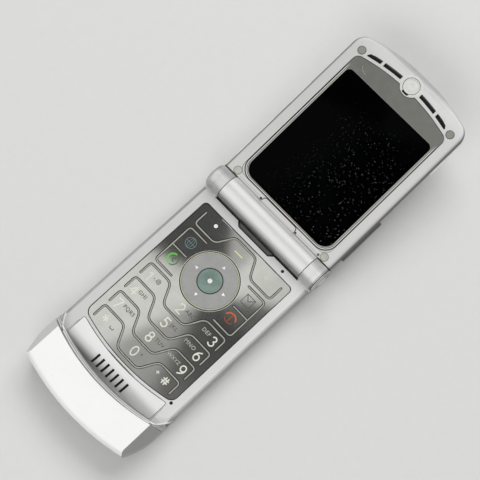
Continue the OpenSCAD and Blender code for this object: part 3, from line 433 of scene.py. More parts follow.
def ramp_height(run):
    """BASE_TOP up to RAMP_Y from the hinge, then z = BASE_TOP + R - sqrt(R^2 - (run - RAMP_Y)^2)."""
    return BASE_TOP + RAMP_R - np.sqrt(RAMP_R**2 - np.clip(run - RAMP_Y, 0, 5.6) ** 2)


def on_ramp(part):
    """A flat drawing laid on the ramp."""
    points, faces = part
    return points + np.column_stack([np.zeros((len(points), 2)), ramp_height(points[:, 1])]), faces


print("hinge axis at", HINGE_Z, "mm, base top at", BASE_TOP)

# %% [markdown]
# Outlines and paths are plain rows of points. Blender's curves could draw them too, but a row of points is
# mirrored, moved or joined to another with one line of arithmetic.


# %% Outlines and paths
def arc(x, y, rx, ry, start, end, steps=20):
    """Part of an ellipse about (x, y), from one angle to another in degrees."""
    a = np.radians(np.linspace(start, end, steps))
    return np.stack([x + rx * np.cos(a), y + ry * np.sin(a)], 1)


def line(*points, steps=3):
    """Straight runs through the points, each with a few steps."""
    points = np.asarray(points, float)
    t = np.linspace(0, 1, steps, endpoint=False)[None, :, None]
    runs = points[:-1, None] * (1 - t) + points[1:, None] * t
    return np.concatenate([runs.reshape(-1, 2), points[-1:]])


def box(x0, y0, x1, y1):
    return np.array([(x0, y0), (x1, y0), (x1, y1), (x0, y1)])


def flip(points):
    return np.array(points)[::-1] * (-1, 1)


def both_sides(points):
    return np.concatenate([points, flip(points)])


def mirrored(points):
    """The drawing on the left, and the drawing as it is on the right."""
    return [np.asarray(points) * (side, 1) for side in (-1, 1)]


def directions(path):
    """At each point of a path, the unit vector along it and the one to the left of it."""
    along = np.gradient(path, axis=0)
    along /= np.linalg.norm(along, axis=1)[:, None]
    return along, np.stack([-along[:, 1], along[:, 0]], 1)


print("lines and arcs can be drawn")

# %% [markdown]
# Nothing moulded or etched has a sharp corner. A bend rounds one: it starts before the corner, ends after it
# and leans on the corner itself. It needs no centre and no angle, as an arc would, so any corner can have one.


# %% Rounded and inset outlines
def bend(a, corner, b, steps):
    """A curve from a to b that the corner draws to itself: (1 - t)^2 a + 2 t (1 - t) corner + t^2 b."""
    t = np.linspace(0, 1, steps)[:, None]
    return (1 - t) ** 2 * a + 2 * t * (1 - t) * corner + t**2 * b


def corners(points, reach, steps=6):
    """Outline with each corner replaced by a bend that starts reach before it, or at 0.46 of a short edge."""
    points = np.asarray(points, float)
    back, ahead = np.roll(points, 1, 0) - points, np.roll(points, -1, 0) - points
    cut = lambda edge: np.minimum(reach / np.linalg.norm(edge, axis=1), 0.46)[:, None] * edge
    a, corner, b = (p[:, None] for p in (points + cut(back), points, points + cut(ahead)))
    return bend(a, corner, b, steps).reshape(-1, 2)


def softened(points, reaches, steps=7):
    """Path through points; each corner becomes a bend that starts its reach before it."""
    points, bends = np.asarray(points, float), []
    for before, corner, after, reach in zip(points, points[1:], points[2:], reaches):
        a, b = (corner + (p - corner) * min(reach / np.linalg.norm(p - corner), 0.48) for p in (before, after))
        bends.append(bend(a, corner, b, steps))
    return np.concatenate([points[:1], *bends, points[-1:]])


def arched(half, y0, y1, end_r, near, far, steps=12):
    """Outline of a rectangle whose far side is an arc of radius end_r, with round corners."""
    far_y = y1 - end_r + sqrt((end_r - far) ** 2 - (half - far) ** 2)
    lean = np.degrees(np.arctan2(half - far, far_y - (y1 - end_r)))
    return both_sides(np.concatenate([arc(half - near, y0 + near, near, near, -90, 0, steps),
                                      arc(half - far, far_y, far, far, 0, 90 - lean, steps),
                                      arc(0, y1 - end_r, end_r, end_r, 90 - lean, 90, 24)[1:-1]]))


def inset(outline, distance):
    """Outline moved inwards by distance: each point goes along the mean of its two edges' normals, divided
    by one plus the cosine between them. The outline runs anticlockwise."""
    edge = np.roll(outline, -1, 0) - outline
    edge /= np.linalg.norm(edge, axis=1)[:, None]
    normal = np.stack([-edge[:, 1], edge[:, 0]], 1)
    before = np.roll(normal, 1, 0)
    share = 1 + (normal * before).sum(1)
    return outline + distance * (normal + before) / np.maximum(share, 0.6)[:, None]


def anticlockwise(outline):
    """The outline turned round if its area, the sum of cross products, is negative."""
    x, y = outline.T
    return outline if (x * np.roll(y, -1) - np.roll(x, -1) * y).sum() > 0 else outline[::-1]


print("outlines can be rounded")

# %% [markdown]
# Trim, studs and rings are extruded, pressed or turned, and their section says all about them. Extruding by
# hand or a Screw modifier could make them, but a skin over rings of worked-out points keeps each profile to
# the hundredth of a millimetre. Neighbouring rings are joined by four-sided faces, all at once.


# %% Skins over rings
def quads(rows, columns):
    """Faces of a grid of rows rings with columns points each, joined round each ring."""
    r, c = np.meshgrid(np.arange(rows - 1), np.arange(columns), indexing="ij")
    d = (c + 1) % columns
    return np.stack([r * columns + c, r * columns + d, (r + 1) * columns + d,
                     (r + 1) * columns + c], -1).reshape(-1, 4).tolist()


def loft(rings, low_cap=True, high_cap=True):
    """Skin over rings, an array of ring, point and coordinate, with flat faces on its ends."""
    count, size = rings.shape[:2]
    faces = quads(count, size)
    if low_cap:
        faces.append(list(range(size))[::-1])
    if high_cap:
        faces.append(list(range((count - 1) * size, count * size)))
    return rings.reshape(-1, 3), faces


def raised(outline, profile):
    """Profile carried round an outline: at each (inset, height) the outline moved inwards by inset."""
    outline = anticlockwise(np.asarray(outline, float))
    rings = [np.column_stack([inset(outline, i), np.full(len(outline), z)]) for i, z in profile]
    return loft(np.array(rings))


def slab(outline, low, high):
    return raised(outline, [(0, low), (0, high)])


def turned(profile, centre=(0.0, 0.0), steps=64):
    """Profile of (radius, height) turned about an upright axis; a radius of 0 closes the pole."""
    radius, height = np.asarray(profile, float).T
    angle = np.linspace(0, 2 * pi, steps, endpoint=False)
    rings = np.stack([centre[0] + radius[:, None] * np.cos(angle), centre[1] + radius[:, None] * np.sin(angle),
                      np.repeat(height[:, None], steps, 1)], -1)
    return loft(rings, radius[0] > 0, radius[-1] > 0)


def hoop(profile, centre=(0.0, 0.0), steps=96):
    """A profile that closes on itself, turned about an upright axis: a ring without end faces."""
    points, faces = turned([*profile, profile[0]], centre, steps)
    return points, [face for face in faces if len(face) == 4]


def on_ends(part):
    """A turned part laid along the hinge axis, at both ends of it."""
    points, faces = part
    points = np.stack([points[:, 2], points[:, 0], HINGE_Z + points[:, 1]], 1)
    return [(points, faces), (points * (-1, 1, 1), faces)]


def stroke(path, z, width=0.5, height=0.03, caps=5):
    """Flat bar with round ends along a path of (x, y): at each point a five-point section whose half width
    is width / 2, shrinking as the cosine of an angle over the ends."""
    along, side = directions(path)
    turn = np.linspace(0, pi / 2 * 0.94, caps)[1:]
    head = path[0] - np.sin(turn[::-1])[:, None] * along[0] * width / 2
    tail = path[-1] + np.sin(turn)[:, None] * along[-1] * width / 2
    middle = np.concatenate([head, path, tail])
    wide = np.concatenate([np.cos(turn[::-1]), np.ones(len(path)), np.cos(turn)]) * width / 2
    side = np.concatenate([np.repeat(side[:1], caps - 1, 0), side, np.repeat(side[-1:], caps - 1, 0)])
    across = np.array([-1, -0.92, 0, 0.92, 1])
    up = np.array([0, 0.8, 1, 0.8, 0]) * height
    xy = middle[:, None] + across[None, :, None] * wide[:, None, None] * side[:, None]
    return loft(np.concatenate([xy, np.broadcast_to(z + up[:, None], (len(middle), 5, 1))], 2))


def ring_stroke(x, y, rx, ry, z, width):
    """A closed ellipse as a bar with a flat top; its last section joins the first."""
    a = np.linspace(0, 2 * pi, 48, endpoint=False)[:, None]
    section = np.array([[-0.5, 0], [-0.42, 0.8], [0.42, 0.8], [0.5, 0]])
    r = section[:, 0] * width
    rings = np.stack([x + (rx + r) * np.cos(a), y + (ry + r) * np.sin(a), z + 0 * a + section[:, 1] * 0.03], -1)
    count, size = rings.shape[:2]
    return rings.reshape(-1, 3), [[i % (count * size) for i in face] for face in quads(count + 1, size)]


print("a square slab has", len(slab(box(0, 0, 1, 1), 0, 1)[1]), "faces")

# %% [markdown]
# ## Making a piece
# A piece joins its parts in one mesh. Points that coincide are merged and the faces turned outwards, then
# the piece is put on the body that carries it and given its finish, and the solid that it stands for is
# hidden. Gaps, holes and seams are pieces too: thin dark solids that stand for the shade inside, set a little
# proud.


# %% Making pieces
SMOOTH_ANGLE, EDGE_ANGLE, FLAT_ANGLE = 32, 35, 0.6
DRAWN, SOLID = (2e-7, 1e-8), (2e-6, 1e-6)


def smooth_by_angle(mesh, degrees):
    """Faces share their normals across edges flatter than this; large flat faces keep their own."""
    mesh.set_sharp_from_angle(angle=radians(degrees))
    sides = np.empty(len(mesh.polygons), np.int32)
    mesh.polygons.foreach_get("loop_total", sides)
    mesh.polygons.foreach_set("use_smooth", sides <= 4)


def dressed(name, mesh, body, slot, replaces=(), finish=None):
    made = bpy.data.objects.new(name, mesh)
    bpy.context.scene.collection.objects.link(made)
    mesh.materials.clear()
    mesh.materials.append(finishes[finish or slot])
    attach(made, body)
    if replaces:
        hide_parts(*replaces)
    print(f"{name}: {len(mesh.vertices)} points, {len(mesh.polygons)} faces")
    return made


def merged(mesh, limits, then):
    """Makes near points one and takes slivers away, by limits in metres; then does the rest of the work."""
    reach, sliver = limits
    shell = bmesh.new()
    shell.from_mesh(mesh)
    bmesh.ops.remove_doubles(shell, verts=shell.verts, dist=reach)
    bmesh.ops.dissolve_degenerate(shell, edges=shell.edges, dist=sliver)
    then(shell)
    shell.to_mesh(mesh)
    shell.free()


def piece(name, parts, body, slot, replaces=(), finish=None, place=None):
    """One mesh of several parts, drawn in the lid's drawing, the base's, or where place puts them."""
    place = place or (on_lid if body == "lid" else on_base)
    points, faces, first = [], [], 0
    for part_points, part_faces in parts:
        points.append(place(np.asarray(part_points, float)))
        faces += [[first + i for i in face] for face in part_faces]
        first += len(part_points)
    mesh = bpy.data.meshes.new(name)
    mesh.from_pydata(np.concatenate(points).tolist(), [], faces)
    merged(mesh, DRAWN, lambda shell: bmesh.ops.recalc_face_normals(shell, faces=shell.faces))
    smooth_by_angle(mesh, SMOOTH_ANGLE)
    dressed(name, mesh, body, slot, replaces, finish)


def dark(name, parts, body="base", finish="hole_dark", place=None):
    """A gap, hole or seam."""
    piece(name, parts, body, "black_plastic", finish=finish, place=place)


def sign(name, parts, key, tone="cream"):
    """Lacquer in the surface of a key."""
    piece(name, parts, key, "keypad_nickel", finish="legend_" + tone)


print("pieces can be made")

# %% [markdown]
# Some solids have the right shape already and only lack the small round on each edge. They come as loose
# triangles, and a bevel would round the side of every triangle. So the bevel works on a copy, whose points
# are merged and whose flat faces are joined first.


# %% Eased copies of solids
def body_of(node):
    return next(b for b, members in frame["record"]["behaviour"]["bodies"].items() if node in members)


def slot_of(node):
    return next(p["material_slot"] for p in frame["record"]["subparts"] if p["node"] == node)


def eased(node, width, finish=None):
    """Copy of a node: merged, its flat faces joined, and its sharp edges rounded by a bevel."""
    mesh = nodes[node].data.copy()
    mesh.name = node + "_eased"
    merged(mesh, SOLID, lambda shell: bmesh.ops.dissolve_limit(
        shell, angle_limit=radians(FLAT_ANGLE), verts=shell.verts, edges=shell.edges))
    smooth_by_angle(mesh, EDGE_ANGLE)
    made = dressed(node + "_eased", mesh, body_of(node), slot_of(node), (node,), finish)
    bevel = made.modifiers.new("edges", "BEVEL")
    bevel.width, bevel.segments, bevel.limit_method = width * MM, 2, "ANGLE"
    bevel.angle_limit, bevel.harden_normals = radians(EDGE_ANGLE), True
    bevel.use_clamp_overlap = True


print("solids can be eased")

# %% [markdown]
# ## Keys and the plate round them
# On the real phone the keys are parts of one thin nickel sheet: wide etched grooves run round them, each
# with a bead of pale silicone in it, and hairline cuts free the rest. So the sheet is drawn whole and then
# divided: the grooves are ribbons along softened paths, the cuts very thin ribbons.

# %% Groove paths
PLATE_HALF, SIDE_X, WIDE_X, NARROW_X, PITCH = 21.85, 18.85, 8.9, 5.1, 7.17
PLATE_Y, PLATE_END_Y, PLATE_END_R, PLATE_LOW, PLATE_TOP = 8.75, 68.3, 85.0, 6.9, 7.2
RING_Y, RING_R, RING_HOLE_R, SELECT_R = 27.5, 10.45, 10.57, 4.35
ROW_Y, TWO_Y = RING_Y + RING_R - 0.2, RING_Y + RING_HOLE_R + 0.25
MENU_Y, SOFT_Y, SOFT_END_Y = PLATE_Y + 1.55, PLATE_Y + 0.95, PLATE_Y + 8.3
GROUP_Y, GROUP_MID_Y, GROUP_END_Y = PLATE_Y + 10.3, PLATE_Y + 18.87, PLATE_Y + 27.1
GROUP_IN_X, GROUP_MID_X = RING_R - 0.05, RING_R + 1.35
row_tops = [ROW_Y + row * PITCH for row in range(4)]


def ribbon(path, half, caps=7):
    """Outline of a bar with that half width along a path, closed by half circles."""
    along, side = directions(path)
    turn = np.linspace(0, pi, caps)[1:-1, None]
    tail = path[-1] + half * (np.cos(turn) * side[-1] + np.sin(turn) * along[-1])
    head = path[0] - half * (np.cos(turn) * side[0] + np.sin(turn) * along[0])
    return np.concatenate([path + half * side, tail, (path - half * side)[::-1], head])


grooves = [softened(both_sides([(SIDE_X, t + 5.0), (SIDE_X, t), (WIDE_X, t), (NARROW_X, t + PITCH)]),
                    (1.3, 1.9, 1.9, 1.9, 1.9, 1.3)) for t in row_tops]
grooves.append(softened(both_sides([(SIDE_X, PLATE_Y + 2.7), (SIDE_X, SOFT_END_Y), (WIDE_X, SOFT_END_Y),
                                    (NARROW_X, MENU_Y)]), (1.4, 1.9, 1.5, 1.5, 1.9, 1.4)))
group = softened([(GROUP_IN_X + 0.3, GROUP_Y), (SIDE_X, GROUP_Y), (SIDE_X, GROUP_END_Y),
                  (GROUP_IN_X + 0.3, GROUP_END_Y)], (1.4, 1.4))
divider = line((SIDE_X, GROUP_MID_Y), (GROUP_MID_X + 0.3, GROUP_MID_Y))
grooves += [group, flip(group), divider, flip(divider)]
cuts = [line((-8.6, TWO_Y), (8.6, TWO_Y)), line((-9.0, SOFT_END_Y - 0.55), (9.0, SOFT_END_Y - 0.55))]
for t in row_tops[:3]:
    cuts += [line((SIDE_X, t + 4.8), (SIDE_X, t + PITCH + 1.2)),
             line((WIDE_X + 0.9, t + PITCH), (NARROW_X - 0.3, t + PITCH))]
cuts.append(line((SIDE_X, row_tops[3] + 4.8), (SIDE_X, row_tops[3] + 5.47), (5.9, row_tops[3] + 5.47)))
cuts.append(line((SIDE_X, PLATE_Y + 2.9), (SIDE_X, SOFT_Y), (NARROW_X - 0.2, SOFT_Y), (NARROW_X - 0.2, MENU_Y)))
cuts.append(line((GROUP_IN_X + 0.2, GROUP_Y), (GROUP_MID_X + 0.2, GROUP_MID_Y),
                 (GROUP_IN_X + 0.2, GROUP_END_Y)))
cuts += [flip(cut) for cut in cuts[2:]]
print("grooves", len(grooves), "cuts", len(cuts))

# %% [markdown]
# An etched sheet could be cut with booleans, but hairline cuts are where those fail. A constrained
# triangulation respects every outline at once. Triangles in a ribbon drop out, and what still hangs
# together is one key, or the plate. Each side that only one kept triangle has grows a wall.


# %% Sheets cut by outlines
def inside(spots, outline):
    """Whether each spot is within the outline: a ray from it towards +x crosses an odd number of sides."""
    x, y = spots[:, 0, None], spots[:, 1, None]
    (x0, y0), (x1, y1) = outline.T, np.roll(outline, -1, 0).T
    rise = np.where(y1 == y0, 1.0, y1 - y0)
    return (((y0 > y) != (y1 > y)) & (x < (x1 - x0) * (y - y0) / rise + x0)).sum(1) % 2 == 1


def cut_sheet(outline, holes):
    """Points and triangles that respect every side of the outlines, kept within outline and out of holes."""
    outlines = [outline, *holes]
    starts = np.cumsum([0] + [len(o) for o in outlines])
    sides = [(a + i, a + (i + 1) % (b - a)) for a, b in zip(starts, starts[1:]) for i in range(b - a)]
    flat, _, faces, *_ = delaunay_2d_cdt([Vector(p) for p in np.concatenate(outlines)], sides, [], 0, 1e-6)
    flat, faces = np.array([tuple(p) for p in flat]), np.array(faces)
    middles = flat[faces].mean(1)
    return flat, faces[inside(middles, outline) & ~np.any([inside(middles, hole) for hole in holes], 0)]


def sheet(flat, faces, low, high):
    """The triangles as a closed sheet from low to high."""
    edge = np.stack([faces, np.roll(faces, -1, 1)], -1).reshape(-1, 2)
    rim = edge[~np.isin(edge @ (len(flat), 1), edge @ (1, len(flat)))]
    points = np.concatenate([np.column_stack([flat, np.full(len(flat), z)]) for z in (high, low)])
    walls = np.stack([rim[:, 1], rim[:, 0], rim[:, 0] + len(flat), rim[:, 1] + len(flat)], 1)
    used = np.unique(np.concatenate([faces.ravel(), faces.ravel() + len(flat)]))
    place = np.zeros(2 * len(flat), int)
    place[used] = np.arange(len(used))
    every = place[faces].tolist() + place[faces[:, ::-1] + len(flat)].tolist() + place[walls].tolist()
    return points[used], every


def islands(faces, count):
    """A number for each triangle, the same for all that hang together: the lowest number spreads over
    shared sides until nothing changes."""
    edge = np.sort(np.stack([faces, np.roll(faces, -1, 1)], -1), -1).reshape(-1, 2) @ (count, 1)
    order = np.argsort(edge, kind="stable")
    same = edge[order][1:] == edge[order][:-1]
    a, b = order[:-1][same] // 3, order[1:][same] // 3
    label = np.arange(len(faces))
    while True:
        low, spread = np.minimum(label[a], label[b]), label.copy()
        np.minimum.at(spread, a, low)
        np.minimum.at(spread, b, low)
        spread = spread[spread]
        if (spread == label).all():
            return label
        label = spread


def holding(flat, faces, spot):
    """The triangle that the spot is in: the one whose three sides all pass it on the same hand."""
    a, b = flat[faces], flat[np.roll(faces, -1, 1)]
    hand = (b[..., 0] - a[..., 0]) * (spot[1] - a[..., 1]) - (b[..., 1] - a[..., 1]) * (spot[0] - a[..., 0])
    return np.flatnonzero((hand >= 0).all(1) | (hand <= 0).all(1))[0]


print("sheets can be cut")

# %% [markdown]
# The keys share the real sheet, but here each moves on a joint, so each becomes a piece of its own. A spot
# on the key finds the triangle under it, and with it all that hang together with that one. They leave the
# sheet as the key, and what stays in the end is the plate.

# %% Keypad plate and keys
plate_line = arched(PLATE_HALF - 0.2, PLATE_Y + 0.2, PLATE_END_Y - 0.2, PLATE_END_R, 1.6, 3.0)
ring_hole = arc(0, RING_Y, RING_HOLE_R + 0.1, RING_HOLE_R + 0.1, 0, 360, 97)[:-1]
GROOVE_HALF, CUT_HALF = 0.45, 0.008
ribbons = [ribbon(path, GROOVE_HALF) for path in grooves] + [ribbon(path, CUT_HALF, 3) for path in cuts]
flat, faces = cut_sheet(plate_line, [ring_hole, *ribbons])
label = islands(faces, len(flat))
key_spots = {"soft_key_left": (-13, 12.5), "soft_key_right": (13, 12.5), "menu_key": (0, 13.5),
             "web_key": (-14.4, 23), "message_key": (14.4, 23), "send_key": (-14.4, 31.4),
             "end_key": (14.4, 31.4)}
for i, number in enumerate([*"123456789", "star", "0", "hash"]):
    row, column = divmod(i, 3)
    key_spots["key_" + number] = ((column - 1) * 14.0, row_tops[row] + PITCH / 2 - (0.8 if column != 1 else 0))
for name, spot in key_spots.items():
    own = label == label[holding(flat, faces, spot)]
    piece(name + "_cap", [sheet(flat, faces[own], PLATE_LOW, PLATE_TOP)], name, "keypad_nickel", [name])
    faces, label = faces[~own], label[~own]
piece("keypad_plate_sheet", [sheet(flat, faces, PLATE_LOW, PLATE_TOP)], "base", "keypad_nickel",
      ["keypad_plate"])
print("left for the plate", len(faces), "triangles in", len(np.unique(label)), "groups")

# %% [markdown]
# The silicone mat shows in the grooves as a bead. The dark line on each side of it is painted shade: a dark
# floor under the bead. A dark sheet round the plate is painted shade in the gap there. The bead is a stroke
# along the groove's own path. The dark floors under it are each a micrometre higher than the last, because
# faces in one plane would flicker where paths meet.

# %% Beads, groove shade and plate gap shade
MAT_TOP, FLOOR_HALF, FLOOR_TOP, STEP = 6.605, 0.5, 6.63, 0.001
BEAD_LOW, BEAD_WIDTH, BEAD_HEIGHT = 6.62, 0.46, 0.42
piece("groove_shade_floor", [slab(ribbon(path, FLOOR_HALF), MAT_TOP + i * STEP, FLOOR_TOP + i * STEP)
                       for i, path in enumerate(grooves)], "base", "silicone", finish="hole_dark")
frame_line = arched(PLATE_HALF + 0.09, PLATE_Y - 0.09, PLATE_END_Y + 0.09, PLATE_END_R, 1.7, 3.1)
edge_line = arched(PLATE_HALF - 0.19, PLATE_Y + 0.19, PLATE_END_Y - 0.19, PLATE_END_R, 1.6, 3.0)
dark("plate_gap_shade", [sheet(*cut_sheet(frame_line, [edge_line]), PLATE_LOW + 0.005, 7.14)])
# A bright stroke on the left of the plate's edge is a painted highlight, and a dark one on the right a painted
# dark reflection.
piece("plate_edge_highlight", [stroke(line((-13.0, 9.16), (-8.3, 9.16)), PLATE_TOP, 0.3, 0.05)], "base",
      "bright_trim")
dark("plate_edge_dark_reflection", [stroke(line((8.4, 8.86), (13.6, 8.86)), PLATE_TOP, 0.3, 0.03)])
piece("groove_beads", [stroke(path, BEAD_LOW, BEAD_WIDTH, BEAD_HEIGHT) for path in grooves], "base", "silicone",
      finish="groove_grey")

# %% [markdown]
# ## Rocker ring and select button
# The ring is a turned disc with a polished rim and a fine line inside it, and the button sits in a dark
# well in its middle. The dark floors of the gaps round the ring and the button are painted shade. All of
# them are profiles turned on one axis: radius and height, point by point, so that each edge gets the small
# round that a tool leaves.

# %% Rocker ring and select button
CENTRE, RING_LOW, RING_TOP, RING_IN, LIP_R = (0, RING_Y), 6.98, 7.35, SELECT_R + 0.34, RING_HOLE_R + 0.1
ring = [(RING_IN, RING_LOW), (RING_R - 0.1, RING_LOW), (RING_R - 0.1, RING_TOP - 0.16),
        (RING_R - 0.14, RING_TOP - 0.06), (RING_R - 0.24, RING_TOP), (RING_R - 0.42, RING_TOP),
        (RING_R - 0.5, RING_TOP - 0.03), (RING_R - 0.56, RING_TOP - 0.16), (RING_R - 0.72, RING_TOP - 0.16),
        (RING_R - 0.78, RING_TOP - 0.04), (RING_R - 0.86, RING_TOP), (RING_R - 0.98, RING_TOP),
        (SELECT_R + 0.75, RING_TOP), (SELECT_R + 0.65, RING_TOP), (SELECT_R + 0.42, RING_TOP - 0.08),
        (RING_IN, RING_TOP - 0.2)]
button = [(0, PLATE_LOW), (SELECT_R, PLATE_LOW), (SELECT_R, 7.24), (SELECT_R - 0.06, 7.32),
          (SELECT_R - 0.16, 7.36), (SELECT_R - 0.3, 7.37), (SELECT_R - 0.5, 7.4), (SELECT_R - 1.2, 7.4),
          (0, 7.4)]
piece("rocker_ring_turned", [hoop(ring, CENTRE, 128)], "rocker_ring", "rocker_grey", ["rocker_ring"])
piece("select_button_turned", [turned(button, CENTRE, 96)], "select_button", "select_green", ["select_button"])
rim = [(-0.52, -0.1), (-0.11, -0.1), (-0.13, -0.02), (-0.24, 0.02), (-0.40, 0.02), (-0.5, -0.02)]
lip = [(0, -0.1), (0.16, -0.1), (0.16, 0.002), (0.1, 0.03), (0.03, 0.03), (0, 0)]
piece("ring_rim", [hoop(np.array(rim) + (RING_R, RING_TOP), CENTRE, 128)], "rocker_ring", "rocker_grey",
      finish="ring_lime")
piece("ring_lip", [hoop(np.array(lip) + (LIP_R, PLATE_TOP), CENTRE, 128)], "base", "bright_trim",
      finish="lip_bright")
# Painted shade: a dark floor in the gap round the ring.
dark("ring_gap", [hoop(box(RING_R - 0.4, MAT_TOP, LIP_R + 0.02, 6.66), CENTRE)])
dark("ring_line", [hoop(box(RING_R - 0.78, RING_TOP - 0.18, RING_R - 0.56, RING_TOP - 0.03), CENTRE)],
     "rocker_ring", finish="grey_plastic")
# Painted shade: the well's dark olive floor in the gap round the button.
well = box(SELECT_R - 0.2, 7.0, SELECT_R + 0.5, 7.04)
piece("select_well", [turned([*well, well[0]], CENTRE, 64)], "rocker_ring", "rocker_grey", finish="select_well")

# %% [markdown]
# ## Legends
# The figures are thin windows etched through the sheet and filled with a pale lacquer. A typeface would be
# too heavy, so a figure is a few arcs and lines in a box one unit high, and a stroke is a bar with a
# five-point section. Strokes that cross differ by 0.002 mm in height.

# %% Figures
FIGURES = {
    "1": [line((0.10, 0.78), (0.34, 1.0), (0.34, 0.0))],
    "2": [np.concatenate([arc(0.30, 0.72, 0.28, 0.28, 165, -38),
                          line((0.47, 0.47), (0.02, 0.0), (0.62, 0.0))])],
    "3": [np.concatenate([arc(0.27, 0.76, 0.25, 0.24, 150, -80), arc(0.27, 0.27, 0.30, 0.27, 85, -150)])],
    "4": [line((0.46, 0.0), (0.46, 1.0), (0.0, 0.28), (0.64, 0.28))],
    "5": [np.concatenate([line((0.56, 1.0), (0.10, 1.0), (0.07, 0.56)),
                          arc(0.27, 0.31, 0.31, 0.31, 118, -148)])],
    "6": [np.concatenate([line((0.46, 1.0), (0.40, 0.95)), arc(0.62, 0.36, 0.60, 0.62, 128, 178),
                          arc(0.31, 0.31, 0.29, 0.31, 185, 520)])],
    "7": [line((0.02, 1.0), (0.60, 1.0), (0.20, 0.0))],
    "8": [arc(0.30, 0.76, 0.24, 0.24, 0, 360), arc(0.30, 0.27, 0.29, 0.27, 0, 360)],
    "0": [arc(0.30, 0.50, 0.30, 0.50, 0, 360, 32)],
    "star": [line((0.30, 0.12), (0.30, 0.88)), line((-0.02, 0.32), (0.62, 0.68)),
             line((-0.02, 0.68), (0.62, 0.32))],
    "hash": [line((0.14, 0.08), (0.24, 0.92)), line((0.46, 0.08), (0.56, 0.92)),
             line((-0.02, 0.66), (0.72, 0.66)), line((-0.04, 0.34), (0.70, 0.34))],
}
FIGURES["9"] = [(0.60, 1.0) - path for path in FIGURES["6"]]
FIGURE_SPOTS = {"1": (-15.6, 41.4), "2": (0.05, 41.4), "3": (16.1, 41.4), "4": (-15.8, 48.5), "5": (0.05, 48.5),
                "6": (16.1, 48.5), "7": (-16.0, 55.7), "8": (0.05, 55.7), "9": (16.1, 55.7),
                "star": (-15.0, 62.3), "0": (0.05, 62.85), "hash": (14.8, 62.3)}
SIGN_Z, OVER, SMALL, TALL = PLATE_TOP - 0.01, 0.002, 2.9, 3.5


def figure(name, x, y, height):
    """The strokes of a figure whose middle is at (x, y), y growing towards the chin."""
    middle = 0.34 if name == "hash" else 0.30
    return [stroke(np.column_stack([x + (p[:, 0] - middle) * height, y - (p[:, 1] - 0.5) * height]),
                   SIGN_Z + i * OVER) for i, p in enumerate(FIGURES[name])]


for number, (x, y) in FIGURE_SPOTS.items():
    height = SMALL if number in ("star", "hash") else TALL
    sign("figure_" + number, figure(number, x, y, height), "key_" + number)

# %% [markdown]
# The letter groups of a telephone dial are printed small beside the figures. Their strokes are too fine to
# draw by hand, so they come from the built-in typeface, made a mesh before it is laid on the key.


# %% Letter groups
def words(text, x, y, size, z, align):
    """Small letters as a flat mesh, laid on the key with y towards the chin."""
    curve = bpy.data.curves.new("letters", "FONT")
    curve.body, curve.size, curve.align_x = text, size, align
    curve.extrude, curve.resolution_u, curve.offset, curve.space_character = 0.012, 3, 0.03, 1.12
    holder = bpy.data.objects.new("letters", curve)
    bpy.context.scene.collection.objects.link(holder)
    bpy.context.view_layer.update()
    shape = bpy.data.meshes.new_from_object(holder.evaluated_get(bpy.context.evaluated_depsgraph_get()))
    spots = np.empty(len(shape.vertices) * 3, np.float32)
    shape.vertices.foreach_get("co", spots)
    bpy.data.objects.remove(holder)
    return spots.reshape(-1, 3) * (1, -1, 1) + (x, y, z), [list(p.vertices) for p in shape.polygons]


LETTERS = {"1": (-14.3, "-.@"), "2": (1.9, "ABC"), "4": (-14.3, "GHI"), "5": (1.9, "JKL"), "7": (-14.1, "PQRS"),
           "8": (1.9, "TUV"), "0": (2.2, "+"), "3": (14.0, "DEF"), "6": (14.0, "MNO"), "9": (14.0, "WXYZ")}
for number, (x, text) in LETTERS.items():
    align, tone = ("RIGHT", "soft") if number in "369" else ("LEFT", "dim")
    size = 1.8 if text == "WXYZ" else 2.0
    sign("letters_" + number, [words(text, x, FIGURE_SPOTS[number][1] - 0.2, size, PLATE_TOP + 0.004, align)],
         "key_" + number, tone)
sign("space_mark", [stroke(line((-11.9, 63.0), (-11.9, 63.6), (-10.4, 63.6), (-10.4, 63.0)), SIGN_Z, 0.3)],
     "key_star", "dim")
sign("shift_mark", [stroke(line((10.9, 62.6), (10.9, 61.9)), SIGN_Z, 0.35),
                    stroke(line((10.4, 62.1), (10.9, 61.6), (11.4, 62.1)), SIGN_Z + OVER, 0.3)], "key_hash")

# %% [markdown]
# The other keys carry signs that every phone has: dots on the soft keys, a dash for the menu, a globe, an
# envelope, a green and a red-orange receiver arc, and four arrow heads on the ring. Most are strokes too.


# %% Signs
ARROW_AT, ARROW_R = 6.75, 0.78


def arrow(angle):
    """Triangle on the ring with its tip towards the angle, as a small raised plate."""
    middle = np.array([cos(angle), sin(angle)]) * ARROW_AT + CENTRE
    a = np.radians(np.degrees(angle) + np.array([0, 128, 232]))
    points = middle + ARROW_R * np.stack([np.cos(a), np.sin(a)], 1)
    z = RING_TOP - 0.01
    return raised(corners(points, 0.12, 4), [(0, z), (0, z + 0.021), (0.03, z + 0.03)])


